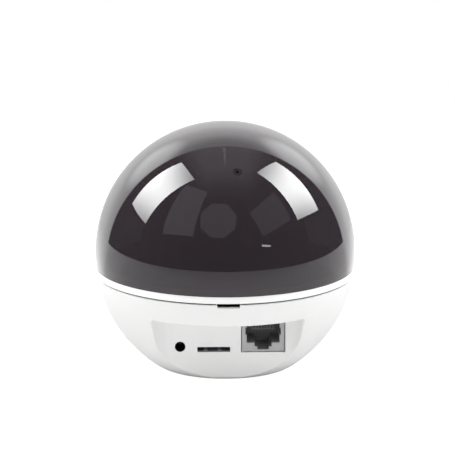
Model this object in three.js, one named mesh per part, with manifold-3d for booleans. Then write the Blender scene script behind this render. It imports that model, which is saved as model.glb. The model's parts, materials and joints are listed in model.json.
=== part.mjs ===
// A small pan and tilt security camera. A white ball-shaped base carries a trim ring and a
// smoke-tinted dome, and a camera head pans and tilts inside the dome.
// Sizes are in millimetres. +Z is up, and the origin is the centre of the foot on the table.
// The sockets face -Y and the lens faces +Y.

import * as THREE from 'three';
import { mergeVertices } from 'three/addons/utils/BufferGeometryUtils.js';
import Module from 'manifold-3d';

const wasm = await Module();
wasm.setup();

// ---------------------------------------------------------------- driving dimensions

// Clearances
const GAP = 0.3;
const CUT_MARGIN = 1;

// Facets round the large shells, the middle-sized turned pieces and the small ones
const BALL_SIDES = 40;
const SHROUD_SIDES = 32;
const DRUM_SIDES = 20;
const SCREW_SIDES = 8;
const HEAD_SIDES = 20;

// The ball
const BALL_RADIUS = 47.2;
const FOOT_EDGE_RADIUS = 26.7;
const FOOT_THICKNESS = 0.6;
const FOOT_INSET = 1;
const DOME_LIFT = 1.5;
const BASE_CENTRE = FOOT_THICKNESS + Math.sqrt(BALL_RADIUS ** 2 - FOOT_EDGE_RADIUS ** 2);
const DOME_CENTRE = BASE_CENTRE + DOME_LIFT;

// Base shell
const SHELL_WALL = 2;
const COVER_THICKNESS = 1.6;
const LEDGE_WIDTH = 3.1;
const LEDGE_THICKNESS = 1.6;
const SEAT_WALL = 3.1;
const COVER_SEAT_RADIUS = FOOT_EDGE_RADIUS - SEAT_WALL;
const LEDGE_INNER_RADIUS = COVER_SEAT_RADIUS - LEDGE_WIDTH;
const LEDGE_BOTTOM = FOOT_THICKNESS + COVER_THICKNESS + GAP;
const LEDGE_TOP = LEDGE_BOTTOM + LEDGE_THICKNESS;

// Main board
const BOARD_HEIGHT = 8.4;
const BOARD_THICKNESS = 1.6;
const BOARD_RADIUS = 31;
const BOARD_TOP = BOARD_HEIGHT + BOARD_THICKNESS;

// Network jack, which stands on the board and looks out at the back of the recess
const JACK_X = 12.8;
const JACK_WIDTH = 15.3;
const JACK_HEIGHT = 13.3;
const JACK_DEPTH = 18;
const JACK_SHEET = 0.5;
const JACK_BOTTOM = BOARD_TOP + GAP;
const JACK_TOP = JACK_BOTTOM + JACK_HEIGHT;

// Recess for the sockets, in the back of the base
const RECESS_BACK = 26.6;
const RECESS_HEADROOM = 1.1;
const RECESS_CEILING = JACK_TOP + RECESS_HEADROOM;
const RECESS_HALF_WIDTH = 23.2;
const RECESS_FLARE = 0.405;
const RECESS_FILLET = 5;
const RECESS_WALL = 2;
const RECESS_INSIDE = RECESS_BACK - RECESS_WALL;

// Pry notch under the trim ring
const NOTCH_TOP_WIDTH = 7.7;
const NOTCH_BOTTOM_WIDTH = 6.5;
const NOTCH_HEIGHT = 1.05;
const NOTCH_ROOM = 15.4;

// Chassis deck, over the recess
const DECK_THICKNESS = 2;
const DECK_BOTTOM = RECESS_CEILING + RECESS_WALL + GAP;
const DECK_TOP = DECK_BOTTOM + DECK_THICKNESS;

// Trim ring and dome
const SEAM_RISE = 4;
const SHELL_TOP = DECK_TOP + SEAM_RISE;
const SEAM_GAP = 0.3;
const RING_BAND_HEIGHT = 2.5;
const RING_PROUD = 0.2;
const RING_BEVEL = 0.4;
const RING_WALL = 1.4;
const RING_LIP_HEIGHT = 1.2;
const DOME_WALL = 2;
const MICROPHONE_HOLE_RADIUS = 0.8;
const MICROPHONE_SINK_RADIUS = 1.5;
const MICROPHONE_SINK_DEPTH = 0.4;
const MICROPHONE_RISE_ANGLE = 48.8;
const MICROPHONE_TURN_ANGLE = 6.4;
const RING_BOTTOM = SHELL_TOP + SEAM_GAP;
const RING_TOP = RING_BOTTOM + RING_BAND_HEIGHT;

// Screws and the bosses that take them
const SCREW_RADIUS = 1;
const SCREW_HEAD_RADIUS = 1.9;
const SCREW_HEAD_HEIGHT = 0.9;
const BOSS_WALL = 1.7;
const BOSS_BORE = SCREW_RADIUS + GAP;
const BOSS_RADIUS = BOSS_BORE + BOSS_WALL;
const DECK_BOSS_INSET = 4.9;
const DECK_BOSS_ANGLES = [90, 205, 335];
const DECK_SCREW_LENGTH = 6;
const COVER_BOSS_HEIGHT = 1.6;
const COVER_SCREW_ANGLES = [90, 210, 330];
const COVER_SCREW_LENGTH = 3.6;
const BOARD_POST_ANGLES = [35, 145];
const BOARD_SCREW_LENGTH = 3.4;

// The plug space inside the network jack
const PLUG_WIDTH = 11.7;
const PLUG_HEIGHT = 6.9;
const PLUG_DEPTH = 12;
const TAB_WIDTH = 6.1;
const TAB_HEIGHT = 1.4;
const LATCH_WIDTH = 4.1;
const LATCH_HEIGHT = 1.3;
const JACK_SILL = 0.8;
const CONTACT_COUNT = 8;
const CONTACT_PITCH = 1.02;
const CONTACT_WIDTH = 0.46;
const CONTACT_WIRE = 0.5;
const CONTACT_REACH = 9;
const CONTACT_DROP = 1.8;
const CARRIER_WIDTH = 2;
const CARRIER_HEIGHT = 1;

// Memory card socket and power jack
const CARD_X = -4.75;
const CARD_SLOT_WIDTH = 11.7;
const CARD_SLOT_HEIGHT = 1.9;
const CARD_SOCKET_DEPTH = 14.5;
const CARD_SOCKET_WALL = 0.35;
const CARD_SLOT_RISE = 1.2;
const POWER_X = -16.7;
const POWER_RISE = 2.3;
const POWER_HOLE_RADIUS = 1.9;
const POWER_BODY_WIDTH = 6.6;
const POWER_BODY_HEIGHT = 5;
const POWER_BODY_DEPTH = 11;
const POWER_BORE_DEPTH = 8;
const POWER_PIN_RADIUS = 0.65;
const POWER_PIN_SETBACK = 2;
const POWER_CENTRE = BOARD_TOP + POWER_RISE;

// Pieces on the main board
const PROCESSOR_SIZE = 11;
const PROCESSOR_HEIGHT = 1;
const PROCESSOR_Y = 11;
const SPREADER_SIZE = 15;
const SPREADER_HEIGHT = 2.4;
const FIN_COUNT = 5;
const FIN_DEPTH = 1.4;
const RADIO_X = -15;
const RADIO_LENGTH = 12;
const RADIO_WIDTH = 10;
const RADIO_HEIGHT = 1.8;
const ANTENNA_X = 24.5;
const ANTENNA_Y = 5;
const ANTENNA_LENGTH = 15;
const ANTENNA_HEIGHT = 8;
const ANTENNA_THICKNESS = 0.8;
const TRANSFORMER_LENGTH = 12.6;
const TRANSFORMER_WIDTH = 7;
const TRANSFORMER_HEIGHT = 4;
const MICROPHONE_RADIUS = 1.8;
const MICROPHONE_HEIGHT = 1.3;
const MICROPHONE_INSET = 3;
const SPEAKER_RADIUS = 7;
const SPEAKER_MAGNET_RADIUS = 4.2;
const SPEAKER_DEPTH = 4.6;
const SPEAKER_ANGLE = 145;
const SPEAKER_INSET = 2;
const GRILLE_HOLE_RADIUS = 0.8;
const GRILLE_PITCH = 2.6;
const GRILLE_HOLES = 6;

// Reset button and its switch
const RESET_Y = 14;
const RESET_RADIUS = 2;
const RESET_FLANGE = 0.8;
const RESET_FLANGE_HEIGHT = 0.8;
const RESET_SUNK = 0.6;
const SWITCH_SIZE = 5;
const SWITCH_HEIGHT = 2.6;
const RESET_TRAVEL = 0.4;

// Pan drive: hub, bush, retainer, gear pair and motor
const HUB_RADIUS = 7.6;
const HUB_WALL = 2.2;
const HUB_TAIL = 2.4;
const BUSH_WALL = 1.7;
const RETAINER_WALL = 2.5;
const RETAINER_THICKNESS = 1.4;
const PAN_MODULE = 0.8;
const PAN_GEAR_TEETH = 40;
const PAN_PINION_TEETH = 12;
const PAN_GEAR_THICKNESS = 2.2;
const PAN_GEAR_LIFT = 0.5;
const PAN_MOTOR_RADIUS = 8;
const PAN_MOTOR_LENGTH = 10;
const PAN_SHAFT_RADIUS = 1;
const PAN_SHAFT_GRIP = 2;
const TURNTABLE_CLEARANCE = 6.3;
const TURNTABLE_THICKNESS = 1.3;
const CABLE_RADIUS = 1.6;
const CABLE_TAIL = 1.4;

// Gear teeth
const PRESSURE_ANGLE = 25;
const ADDENDUM = 0.95;
const DEDENDUM = 1.25;
const BACKLASH = 0.12;

// Camera head, measured from its tilt axis
const HEAD_RADIUS = 13;
const HEAD_WALL = 1.2;
const HEAD_HALF_WIDTH = 11;
const HEAD_CLEARANCE = 1.5;
const HEAD_SPLIT = 3.2;
const SNOUT_LENGTH = 21.5;
const SNOUT_RADIUS = 8.5;
const SNOUT_WALL = 1;
const SNOUT_BEVEL = 0.8;
const TRUNNION_RADIUS = 2.6;
const TRUNNION_LENGTH = 3.4;

// Lens, infrared board and sensor board, from the snout's front face back
const WINDOW_THICKNESS = 1;
const WINDOW_SUNK = 0.2;
const LENS_BARREL_RADIUS = 3.9;
const LENS_BORE_RADIUS = 3;
const LENS_FLANGE_RADIUS = 6;
const LENS_FLANGE_HEIGHT = 1.6;
const LENS_GLASS_THICKNESS = 2;
const LENS_CROWN = 0.7;
const LENS_SHOULDER = 0.2;
const LENS_SHOULDER_RADIUS = 1.5;
const LENS_RING_WIDTH = 1.6;
const EMITTER_COUNT = 4;
const EMITTER_RADIUS = 0.95;
const EMITTER_HEIGHT = 1.5;
const INFRARED_BOARD_THICKNESS = 1;
const INFRARED_BOARD_DEPTH = 4.9;
const SENSOR_BOARD_WIDTH = 15;
const SENSOR_BOARD_HEIGHT = 13;
const SENSOR_BOARD_THICKNESS = 1.2;
const SENSOR_SIZE = 6.6;
const SENSOR_THICKNESS = 0.9;
const SWITCHER_WIDTH = 13;
const SWITCHER_HEIGHT = 12;
const SWITCHER_DEPTH = 2.2;
const SWITCHER_WINDOW = 7.6;

// Tilt drive
const TILT_MODULE = 0.6;
const TILT_GEAR_TEETH = 24;
const TILT_PINION_TEETH = 12;
const TILT_GEAR_THICKNESS = 2.4;
const TILT_GEAR_BORE = 2.1;
const TILT_MOTOR_RADIUS = 5;
const TILT_MOTOR_CLEARANCE = 1.4;
const TILT_SHAFT_RADIUS = 0.8;
const TILT_SHAFT_GRIP = 1.5;
const TILT_DRIVE_ANGLE = 22;

// Yoke
const ARM_GAP = 1;
const ARM_THICKNESS = 2;
const ARM_WIDTH = 10;
const YOKE_BASE_THICKNESS = 1;
const YOKE_BASE_HALF_DEPTH = 11.5;

// Inner shroud
const SHROUD_RADIUS = 31;
const SHROUD_WALL = 1.4;
const SHROUD_SLOT_HALF_WIDTH = 10.5;
const SHROUD_SLOT_BACK = 4;
const SHROUD_SLOT_SILL = 2.4;
const SHROUD_FLANGE_INSET = 1.5;
const SHROUD_FLANGE_HEIGHT = 1.3;
const SHROUD_SCREW_RISE_ANGLE = 71;
const SHROUD_SCREW_TURN_ANGLE = 26;
const STATUS_LIGHT_RISE_ANGLE = 15;
const STATUS_LIGHT_TURN_ANGLE = 28;
const STATUS_LIGHT_ROLL_ANGLE = -8;
const STATUS_LIGHT_WIDTH = 3.4;
const STATUS_LIGHT_HEIGHT = 0.5;
const STATUS_LIGHT_DEPTH = 3;

// ---------------------------------------------------------------- colours and finishes

const finish = (color, roughness, metalness = 0, extra = {}) =>
  () => new THREE.MeshStandardMaterial({ color, roughness, metalness, ...extra });

const whitePlastic = finish(0xf4f4f2, 0.35);
const glossWhite = finish(0xf9f9f8, 0.12);
const greyPlastic = finish(0xb9b9b8, 0.45);
const blackPlastic = finish(0x141314, 0.4);
const glossBlack = finish(0x0b0a0b, 0.12);
const smokeDome = finish(0x2b272a, 0.05, 0, { transparent: true, opacity: 0.55 });
const paleSilicone = finish(0xe4e4e1, 0.75);
const boardGreen = finish(0x1d5b38, 0.5);
const chipBlack = finish(0x1b1b1d, 0.55);
const bareMetal = finish(0xc4c6c8, 0.3, 0.9);
const steel = finish(0x8f9295, 0.35, 0.9);
const aluminium = finish(0xb8babc, 0.4, 0.8);
const gearPlastic = finish(0xe9e4d6, 0.45);
const cableGrey = finish(0x4a4a4c, 0.6);
const lensGlass = finish(0x20243a, 0.02, 0, { transparent: true, opacity: 0.6 });
const emitterClear = finish(0x3a3038, 0.1);
const lightWindow = finish(0xf6f6f4, 0.3, 0, { emissive: 0x8c8c8a });

// ---------------------------------------------------------------- solids

const radians = THREE.MathUtils.degToRad;

// A closed solid from a closed geometry, with its shared corners merged.
function solidFrom(geometry) {
  const bare = new THREE.BufferGeometry();
  bare.setAttribute('position', geometry.getAttribute('position'));
  bare.setIndex(geometry.getIndex());
  const merged = mergeVertices(bare, 1e-4);
  const corners = merged.getIndex().array;
  const kept = [];
  for (let i = 0; i < corners.length; i += 3) {
    const [a, b, c] = [corners[i], corners[i + 1], corners[i + 2]];
    if (a !== b && b !== c && c !== a) kept.push(a, b, c);
  }
  const vertProperties = Float32Array.from(merged.getAttribute('position').array);
  const triVerts = Uint32Array.from(kept);
  return new wasm.Manifold(new wasm.Mesh({ numProp: 3, vertProperties, triVerts }));
}

function geometryFrom(solid) {
  const { vertProperties, triVerts, numProp } = solid.getMesh();
  const points = new Float32Array((vertProperties.length / numProp) * 3);
  for (let i = 0; i < points.length / 3; i += 1) {
    points.set(vertProperties.subarray(i * numProp, i * numProp + 3), i * 3);
  }
  const geometry = new THREE.BufferGeometry();
  geometry.setAttribute('position', new THREE.BufferAttribute(points, 3));
  geometry.setIndex(new THREE.BufferAttribute(Uint32Array.from(triVerts), 1));
  return geometry;
}

const combine = (start, others, step) =>
  geometryFrom(others.reduce((sum, next) => step(sum, solidFrom(next)), solidFrom(start)));

const join = (start, ...others) => combine(start, others, (sum, next) => sum.add(next));
const cut = (start, ...others) => combine(start, others, (sum, next) => sum.subtract(next));
const common = (start, ...others) => combine(start, others, (sum, next) => sum.intersect(next));

const block = (x, y, z) =>
  new THREE.BoxGeometry(x[1] - x[0], y[1] - y[0], z[1] - z[0])
    .translate((x[0] + x[1]) / 2, (y[0] + y[1]) / 2, (z[0] + z[1]) / 2);

// The two ends of a span that is centred on a middle value.
const around = (middle, width) => [middle - width / 2, middle + width / 2];

// An upright round bar between two heights.
const bar = (radius, z, sides = DRUM_SIDES) =>
  new THREE.CylinderGeometry(radius, radius, z[1] - z[0], sides)
    .rotateX(Math.PI / 2)
    .translate(0, 0, (z[0] + z[1]) / 2);

// A profile of [radius, height] pairs turned about the upright axis. It runs anticlockwise, with
// the radius to the right and the height upwards.
const turned = (profile, sides = DRUM_SIDES) =>
  new THREE.LatheGeometry(profile.map(([r, z]) => new THREE.Vector2(r, z)), sides)
    .rotateX(Math.PI / 2);

const closed = (profile) => [...profile, profile[0]];

const tube = (inner, outer, z, sides = DRUM_SIDES) =>
  turned(closed([[inner, z[0]], [outer, z[0]], [outer, z[1]], [inner, z[1]]]), sides);

// Points of a circle about a height on the axis, from one height to another.
function arc(centre, radius, from, to, steps) {
  const start = Math.asin(THREE.MathUtils.clamp((from - centre) / radius, -1, 1));
  const end = Math.asin(THREE.MathUtils.clamp((to - centre) / radius, -1, 1));
  const points = [];
  for (let i = 0; i <= steps; i += 1) {
    const angle = start + ((end - start) * i) / steps;
    points.push([Math.max(radius * Math.cos(angle), 0), centre + radius * Math.sin(angle)]);
  }
  return points;
}

const circleAt = (centre, radius, height) => Math.sqrt(radius ** 2 - (height - centre) ** 2);

// A flat outline in plan, raised between two heights.
const raised = (shape, z, curveSegments = 5) =>
  new THREE.ExtrudeGeometry(shape, { depth: z[1] - z[0], bevelEnabled: false, curveSegments })
    .translate(0, 0, z[0]);

// Turns a piece made along +Z so that it lies along +Y, with its +Y side down.
const alongY = (geometry) => geometry.rotateX(-Math.PI / 2);
const alongX = (geometry) => geometry.rotateY(Math.PI / 2);

// Stands a flat piece up across X. Its plan +X becomes +Y, its plan +Y becomes +Z, and its
// height runs along +X.
const acrossX = (geometry) => geometry.applyMatrix4(new THREE.Matrix4().makeBasis(
  new THREE.Vector3(0, 1, 0), new THREE.Vector3(0, 0, 1), new THREE.Vector3(1, 0, 0)));

const polar = (radius, degrees) =>
  [radius * Math.cos(radians(degrees)), radius * Math.sin(radians(degrees))];

const shifted = (geometry, x, y, z = 0) => geometry.translate(x, y, z);

// ---------------------------------------------------------------- gears

const involute = (angle) => Math.tan(angle) - angle;

// A spur gear's outline: involute flanks with three points each. The first tooth points along +X
// when turn is 0.
function gearShape(teeth, module, turn, bore) {
  const pitch = (teeth * module) / 2;
  const base = pitch * Math.cos(radians(PRESSURE_ANGLE));
  const halfTooth = Math.PI / (2 * teeth) - BACKLASH / (2 * pitch);
  const halfAngle = (radius) => {
    const pressure = Math.acos(Math.min(base / radius, 1));
    return halfTooth + involute(radians(PRESSURE_ANGLE)) - involute(pressure);
  };
  const root = pitch - DEDENDUM * module;
  const radii = [root, pitch, pitch + ADDENDUM * module];
  const shape = new THREE.Shape();
  for (let tooth = 0; tooth < teeth; tooth += 1) {
    const middle = turn + (2 * Math.PI * tooth) / teeth;
    const rising = radii.map((radius) => [radius, middle - halfAngle(radius)]);
    const falling = radii.map((radius) => [radius, middle + halfAngle(radius)]).reverse();
    [...rising, ...falling].forEach(([radius, angle], index) => {
      const [x, y] = [radius * Math.cos(angle), radius * Math.sin(angle)];
      if (tooth === 0 && index === 0) shape.moveTo(x, y);
      else shape.lineTo(x, y);
    });
  }
  shape.closePath();
  if (bore > 0) {
    const hole = new THREE.Path();
    hole.absarc(0, 0, bore, 0, 2 * Math.PI, true);
    shape.holes.push(hole);
  }
  return shape;
}

const toothStep = (teeth) => Math.PI / teeth;

// ---------------------------------------------------------------- base shell

const innerRadiusAt = (height) => circleAt(BASE_CENTRE, BALL_RADIUS - SHELL_WALL, height);

const baseBall = () => turned([
  [0, FOOT_THICKNESS],
  ...arc(BASE_CENTRE, BALL_RADIUS, FOOT_THICKNESS, SHELL_TOP, 8),
  [0, SHELL_TOP],
], BALL_SIDES);

const baseHollow = () => turned([
  [0, LEDGE_TOP],
  ...arc(BASE_CENTRE, BALL_RADIUS - SHELL_WALL, LEDGE_TOP, SHELL_TOP, 7),
  [innerRadiusAt(SHELL_TOP), SHELL_TOP + CUT_MARGIN],
  [0, SHELL_TOP + CUT_MARGIN],
], BALL_SIDES);

// The plan of the recess, or of the wall behind it when grown by that wall. Its sides flare
// outwards to the back, and its two inner corners are rounded.
function recessShape(growth) {
  const slant = Math.hypot(1, RECESS_FLARE);
  const back = -(RECESS_BACK - growth);
  const half = RECESS_HALF_WIDTH + growth * (slant - RECESS_FLARE);
  const reach = BALL_RADIUS + back + CUT_MARGIN;
  const fillet = RECESS_FILLET + growth;
  const along = fillet / slant;
  const shape = new THREE.Shape();
  shape.moveTo(-half - reach * RECESS_FLARE, back - reach);
  shape.lineTo(half + reach * RECESS_FLARE, back - reach);
  shape.lineTo(half + along * RECESS_FLARE, back - along);
  shape.quadraticCurveTo(half, back, half - fillet, back);
  shape.lineTo(-half + fillet, back);
  shape.quadraticCurveTo(-half, back, -half - along * RECESS_FLARE, back - along);
  shape.closePath();
  return shape;
}

const notchShape = () => {
  const shape = new THREE.Shape();
  shape.moveTo(-NOTCH_BOTTOM_WIDTH / 2, -NOTCH_HEIGHT);
  shape.lineTo(NOTCH_BOTTOM_WIDTH / 2, -NOTCH_HEIGHT);
  shape.lineTo(NOTCH_TOP_WIDTH / 2, 0);
  shape.lineTo(NOTCH_TOP_WIDTH / 2, CUT_MARGIN);
  shape.lineTo(-NOTCH_TOP_WIDTH / 2, CUT_MARGIN);
  shape.lineTo(-NOTCH_TOP_WIDTH / 2, 0);
  shape.closePath();
  return shape;
};

const DECK_BOSS_RING = innerRadiusAt(DECK_BOTTOM) - DECK_BOSS_INSET;
const SCREW_SEAT_RADIUS = SCREW_HEAD_RADIUS + GAP;
const COVER_SCREW_RING = COVER_SEAT_RADIUS - SCREW_SEAT_RADIUS - 3 * GAP;
const BOARD_POST_RING = LEDGE_INNER_RADIUS + BOSS_RADIUS;
const COVER_BOSS_TOP = LEDGE_TOP + COVER_BOSS_HEIGHT;
const COVER_COUNTERBORE = SCREW_HEAD_HEIGHT + GAP;
const throughRecessWall = [-RECESS_BACK - CUT_MARGIN, -RECESS_INSIDE + CUT_MARGIN];
const CARD_CENTRE = BOARD_TOP + CARD_SLOT_RISE;

const bossAt = (ring, angle, z, radius = BOSS_RADIUS) =>
  shifted(bar(radius, z, SCREW_SIDES), ...polar(ring, angle));

const SPEAKER_CENTRE = BOARD_TOP + GAP + SPEAKER_RADIUS;
const SPEAKER_FACE_RING = BOARD_RADIUS + SPEAKER_INSET;

// Small holes in a ring round a middle one, in front of the speaker.
function grilleHoles() {
  const holes = [];
  const length = [0, BALL_RADIUS + CUT_MARGIN];
  for (let i = 0; i <= GRILLE_HOLES; i += 1) {
    const [side, rise] = i === 0 ? [0, 0] : polar(GRILLE_PITCH, (360 / GRILLE_HOLES) * i);
    const hole = alongX(bar(GRILLE_HOLE_RADIUS, length, 6));
    holes.push(shifted(hole, SPEAKER_FACE_RING, side, SPEAKER_CENTRE + rise)
      .rotateZ(radians(SPEAKER_ANGLE)));
  }
  return holes;
}

function baseShell() {
  const ball = baseBall();
  const wallSpan = [FOOT_THICKNESS, RECESS_CEILING + RECESS_WALL];
  const recessWall = common(raised(recessShape(RECESS_WALL), wallSpan), ball);
  const deckBosses = DECK_BOSS_ANGLES.map((angle) =>
    common(bossAt(DECK_BOSS_RING, angle, [LEDGE_TOP, DECK_BOTTOM - GAP]), ball));
  const coverBosses = COVER_SCREW_ANGLES.map((angle) =>
    bossAt(COVER_SCREW_RING, angle, [LEDGE_BOTTOM, COVER_BOSS_TOP]));
  const boardPosts = BOARD_POST_ANGLES.map((angle) =>
    bossAt(BOARD_POST_RING, angle, [LEDGE_BOTTOM, BOARD_HEIGHT - GAP]));
  const floorOpening = bar(LEDGE_INNER_RADIUS, [0, LEDGE_TOP + CUT_MARGIN], BALL_SIDES);
  const coverSeat = bar(COVER_SEAT_RADIUS, [0, LEDGE_BOTTOM], BALL_SIDES);
  const bores = [
    ...DECK_BOSS_ANGLES.map((angle) => bossAt(
      DECK_BOSS_RING, angle, [DECK_BOTTOM - DECK_SCREW_LENGTH - GAP, DECK_BOTTOM], BOSS_BORE)),
    ...COVER_SCREW_ANGLES.map((angle) =>
      bossAt(COVER_SCREW_RING, angle, [0, COVER_BOSS_TOP + CUT_MARGIN], BOSS_BORE)),
    ...BOARD_POST_ANGLES.map((angle) =>
      bossAt(BOARD_POST_RING, angle, [0, BOARD_HEIGHT], BOSS_BORE)),
  ];
  const recess = raised(recessShape(0), [-CUT_MARGIN, RECESS_CEILING]);
  const powerHole = shifted(
    alongY(bar(POWER_HOLE_RADIUS, throughRecessWall, DRUM_SIDES)), POWER_X, 0, POWER_CENTRE);
  const cardSlot = block(around(CARD_X, CARD_SLOT_WIDTH), throughRecessWall,
    around(CARD_CENTRE, CARD_SLOT_HEIGHT));
  const jackOpening = block(around(JACK_X, JACK_WIDTH + 2 * GAP), throughRecessWall,
    [JACK_BOTTOM - GAP, JACK_TOP + GAP]);
  const notch = raised(notchShape(), [0, SHELL_WALL + 2 * CUT_MARGIN])
    .rotateX(Math.PI / 2)
    .translate(0, -innerRadiusAt(SHELL_TOP) + CUT_MARGIN, SHELL_TOP);
  const hollow = cut(ball, baseHollow());
  const walled = join(hollow, recessWall, ...deckBosses);
  const opened = cut(walled, floorOpening);
  return cut(join(opened, ...coverBosses, ...boardPosts), coverSeat, recess, powerHole, cardSlot,
    jackOpening, notch, ...bores, ...grilleHoles());
}

function bottomCover() {
  const thickness = [FOOT_THICKNESS, FOOT_THICKNESS + COVER_THICKNESS];
  const disc = bar(COVER_SEAT_RADIUS - GAP, thickness, BALL_SIDES);
  const screwHoles = COVER_SCREW_ANGLES.flatMap((angle) => [
    bossAt(COVER_SCREW_RING, angle, [0, LEDGE_TOP], BOSS_BORE),
    bossAt(COVER_SCREW_RING, angle, [0, FOOT_THICKNESS + COVER_COUNTERBORE], SCREW_SEAT_RADIUS),
  ]);
  const resetHole = shifted(bar(RESET_RADIUS + GAP, [0, LEDGE_TOP]), 0, RESET_Y);
  return cut(disc, ...screwHoles, resetHole);
}

const footRing = () => tube(COVER_SCREW_RING - BOSS_RADIUS, FOOT_EDGE_RADIUS - FOOT_INSET,
  [0, FOOT_THICKNESS], BALL_SIDES);

// ---------------------------------------------------------------- trim ring and dome

const domeInnerRadius = BALL_RADIUS - DOME_WALL;
const spigotOuterRadius = innerRadiusAt(DECK_TOP + GAP) - GAP;
const ringRadius = circleAt(DOME_CENTRE, BALL_RADIUS, RING_TOP) + RING_PROUD;
const lipRadius = circleAt(DOME_CENTRE, domeInnerRadius, RING_TOP) - 2 * GAP;
const TURNTABLE_RADIUS = spigotOuterRadius - RING_WALL - TURNTABLE_CLEARANCE;

// The white band, with a lip up inside the dome and a skirt down inside the base. The skirt is
// open at the back, behind the pry notch.
function trimRing() {
  const profile = closed([
    [spigotOuterRadius - RING_WALL, DECK_TOP + GAP],
    [spigotOuterRadius, DECK_TOP + GAP],
    [spigotOuterRadius, RING_BOTTOM],
    [ringRadius - RING_BEVEL, RING_BOTTOM],
    [ringRadius, RING_BOTTOM + RING_BEVEL],
    [ringRadius, RING_TOP - RING_BEVEL],
    [ringRadius - RING_BEVEL, RING_TOP],
    [lipRadius, RING_TOP],
    [lipRadius, RING_TOP + RING_LIP_HEIGHT],
    [lipRadius - RING_WALL, RING_TOP + RING_LIP_HEIGHT],
  ]);
  const backOpening = block(around(0, NOTCH_ROOM), [-BALL_RADIUS, 0], [DECK_TOP, RING_BOTTOM]);
  return cut(turned(profile, BALL_SIDES), backOpening);
}

// Points an upright piece out of the dome's centre, at a rise above level and a turn from the back.
const outOfBall = (geometry, elevation, turn) => geometry
  .rotateX(Math.PI / 2)
  .rotateX(-radians(elevation))
  .rotateZ(radians(turn))
  .translate(0, 0, DOME_CENTRE);

function domeCover() {
  const outer = [
    [0, RING_TOP],
    ...arc(DOME_CENTRE, BALL_RADIUS, RING_TOP, DOME_CENTRE, 1),
    ...arc(DOME_CENTRE, BALL_RADIUS, DOME_CENTRE, DOME_CENTRE + BALL_RADIUS, 10).slice(1),
  ];
  const inner = [
    [0, RING_TOP - CUT_MARGIN],
    ...arc(DOME_CENTRE, domeInnerRadius, RING_TOP - CUT_MARGIN, DOME_CENTRE + domeInnerRadius, 9),
  ];
  const microphoneHole = join(
    bar(MICROPHONE_HOLE_RADIUS, [domeInnerRadius - CUT_MARGIN, BALL_RADIUS], SCREW_SIDES),
    bar(MICROPHONE_SINK_RADIUS, [BALL_RADIUS - MICROPHONE_SINK_DEPTH, BALL_RADIUS + CUT_MARGIN],
      SCREW_SIDES));
  return cut(turned(outer, BALL_SIDES), turned(inner, BALL_SIDES),
    outOfBall(microphoneHole, MICROPHONE_RISE_ANGLE, MICROPHONE_TURN_ANGLE));
}

// ---------------------------------------------------------------- deck and screws

const PAN_CENTRE_DISTANCE = (PAN_MODULE * (PAN_GEAR_TEETH + PAN_PINION_TEETH)) / 2;
const BUSH_RADIUS = HUB_RADIUS + GAP + BUSH_WALL;

function chassisDeck() {
  const span = [DECK_BOTTOM, DECK_TOP];
  const disc = bar(innerRadiusAt(DECK_BOTTOM) - GAP, span, BALL_SIDES);
  const through = [DECK_BOTTOM - CUT_MARGIN, DECK_TOP + CUT_MARGIN];
  const hubHole = bar(BUSH_RADIUS + GAP, through);
  const shaftRoom = bar(PAN_SHAFT_RADIUS + 3 * GAP, through, SCREW_SIDES);
  const shaftHole = shifted(shaftRoom, 0, PAN_CENTRE_DISTANCE);
  const screwHoles = DECK_BOSS_ANGLES.map((angle) =>
    bossAt(DECK_BOSS_RING, angle, through, BOSS_BORE));
  return cut(disc, hubHole, shaftHole, ...screwHoles);
}

// A screw with a round head. It stands on its thread's tip, with its head at the top.
const screw = (length) => turned([
  [0, -length],
  [SCREW_RADIUS, -length],
  [SCREW_RADIUS, 0],
  [SCREW_HEAD_RADIUS, 0],
  [SCREW_HEAD_RADIUS - GAP, SCREW_HEAD_HEIGHT],
  [0, SCREW_HEAD_HEIGHT],
], SCREW_SIDES);

// ---------------------------------------------------------------- main board and its pieces

function mainBoard() {
  const span = [BOARD_HEIGHT, BOARD_TOP];
  const through = [BOARD_HEIGHT - CUT_MARGIN, BOARD_TOP + CUT_MARGIN];
  const disc = bar(BOARD_RADIUS, span, BALL_SIDES);
  const behind = block(around(0, 2 * BALL_RADIUS), [-BALL_RADIUS, -RECESS_INSIDE + GAP], through);
  const screwHoles = BOARD_POST_ANGLES.map((angle) =>
    bossAt(BOARD_POST_RING, angle, through, BOSS_BORE));
  return cut(disc, behind, ...screwHoles);
}

const onBoard = (x, y, height, lift = GAP) =>
  block(x, y, [BOARD_TOP + lift, BOARD_TOP + lift + height]);

const processorChip = () =>
  onBoard(around(0, PROCESSOR_SIZE), around(PROCESSOR_Y, PROCESSOR_SIZE), PROCESSOR_HEIGHT);

function heatSpreader() {
  const lift = GAP + PROCESSOR_HEIGHT + GAP;
  const plate = onBoard(around(0, SPREADER_SIZE), around(PROCESSOR_Y, SPREADER_SIZE),
    SPREADER_HEIGHT, lift);
  const pitch = SPREADER_SIZE / FIN_COUNT;
  const top = BOARD_TOP + lift + SPREADER_HEIGHT;
  const grooves = [];
  for (let i = 1; i < FIN_COUNT; i += 1) {
    const y = PROCESSOR_Y - SPREADER_SIZE / 2 + i * pitch;
    grooves.push(block(around(0, SPREADER_SIZE + CUT_MARGIN), around(y, pitch / 2),
      [top - FIN_DEPTH, top + CUT_MARGIN]));
  }
  return cut(plate, ...grooves);
}

const radioModule = () =>
  onBoard(around(RADIO_X, RADIO_LENGTH), around(0, RADIO_WIDTH), RADIO_HEIGHT);

const antenna = () =>
  onBoard(around(ANTENNA_X, ANTENNA_THICKNESS), around(ANTENNA_Y, ANTENNA_LENGTH),
    ANTENNA_HEIGHT);

const JACK_FACE = -RECESS_BACK + GAP;
const JACK_END = JACK_FACE + JACK_DEPTH;

const jackTransformer = () =>
  onBoard(around(JACK_X, TRANSFORMER_LENGTH), [JACK_END + GAP, JACK_END + GAP + TRANSFORMER_WIDTH],
    TRANSFORMER_HEIGHT);

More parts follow.
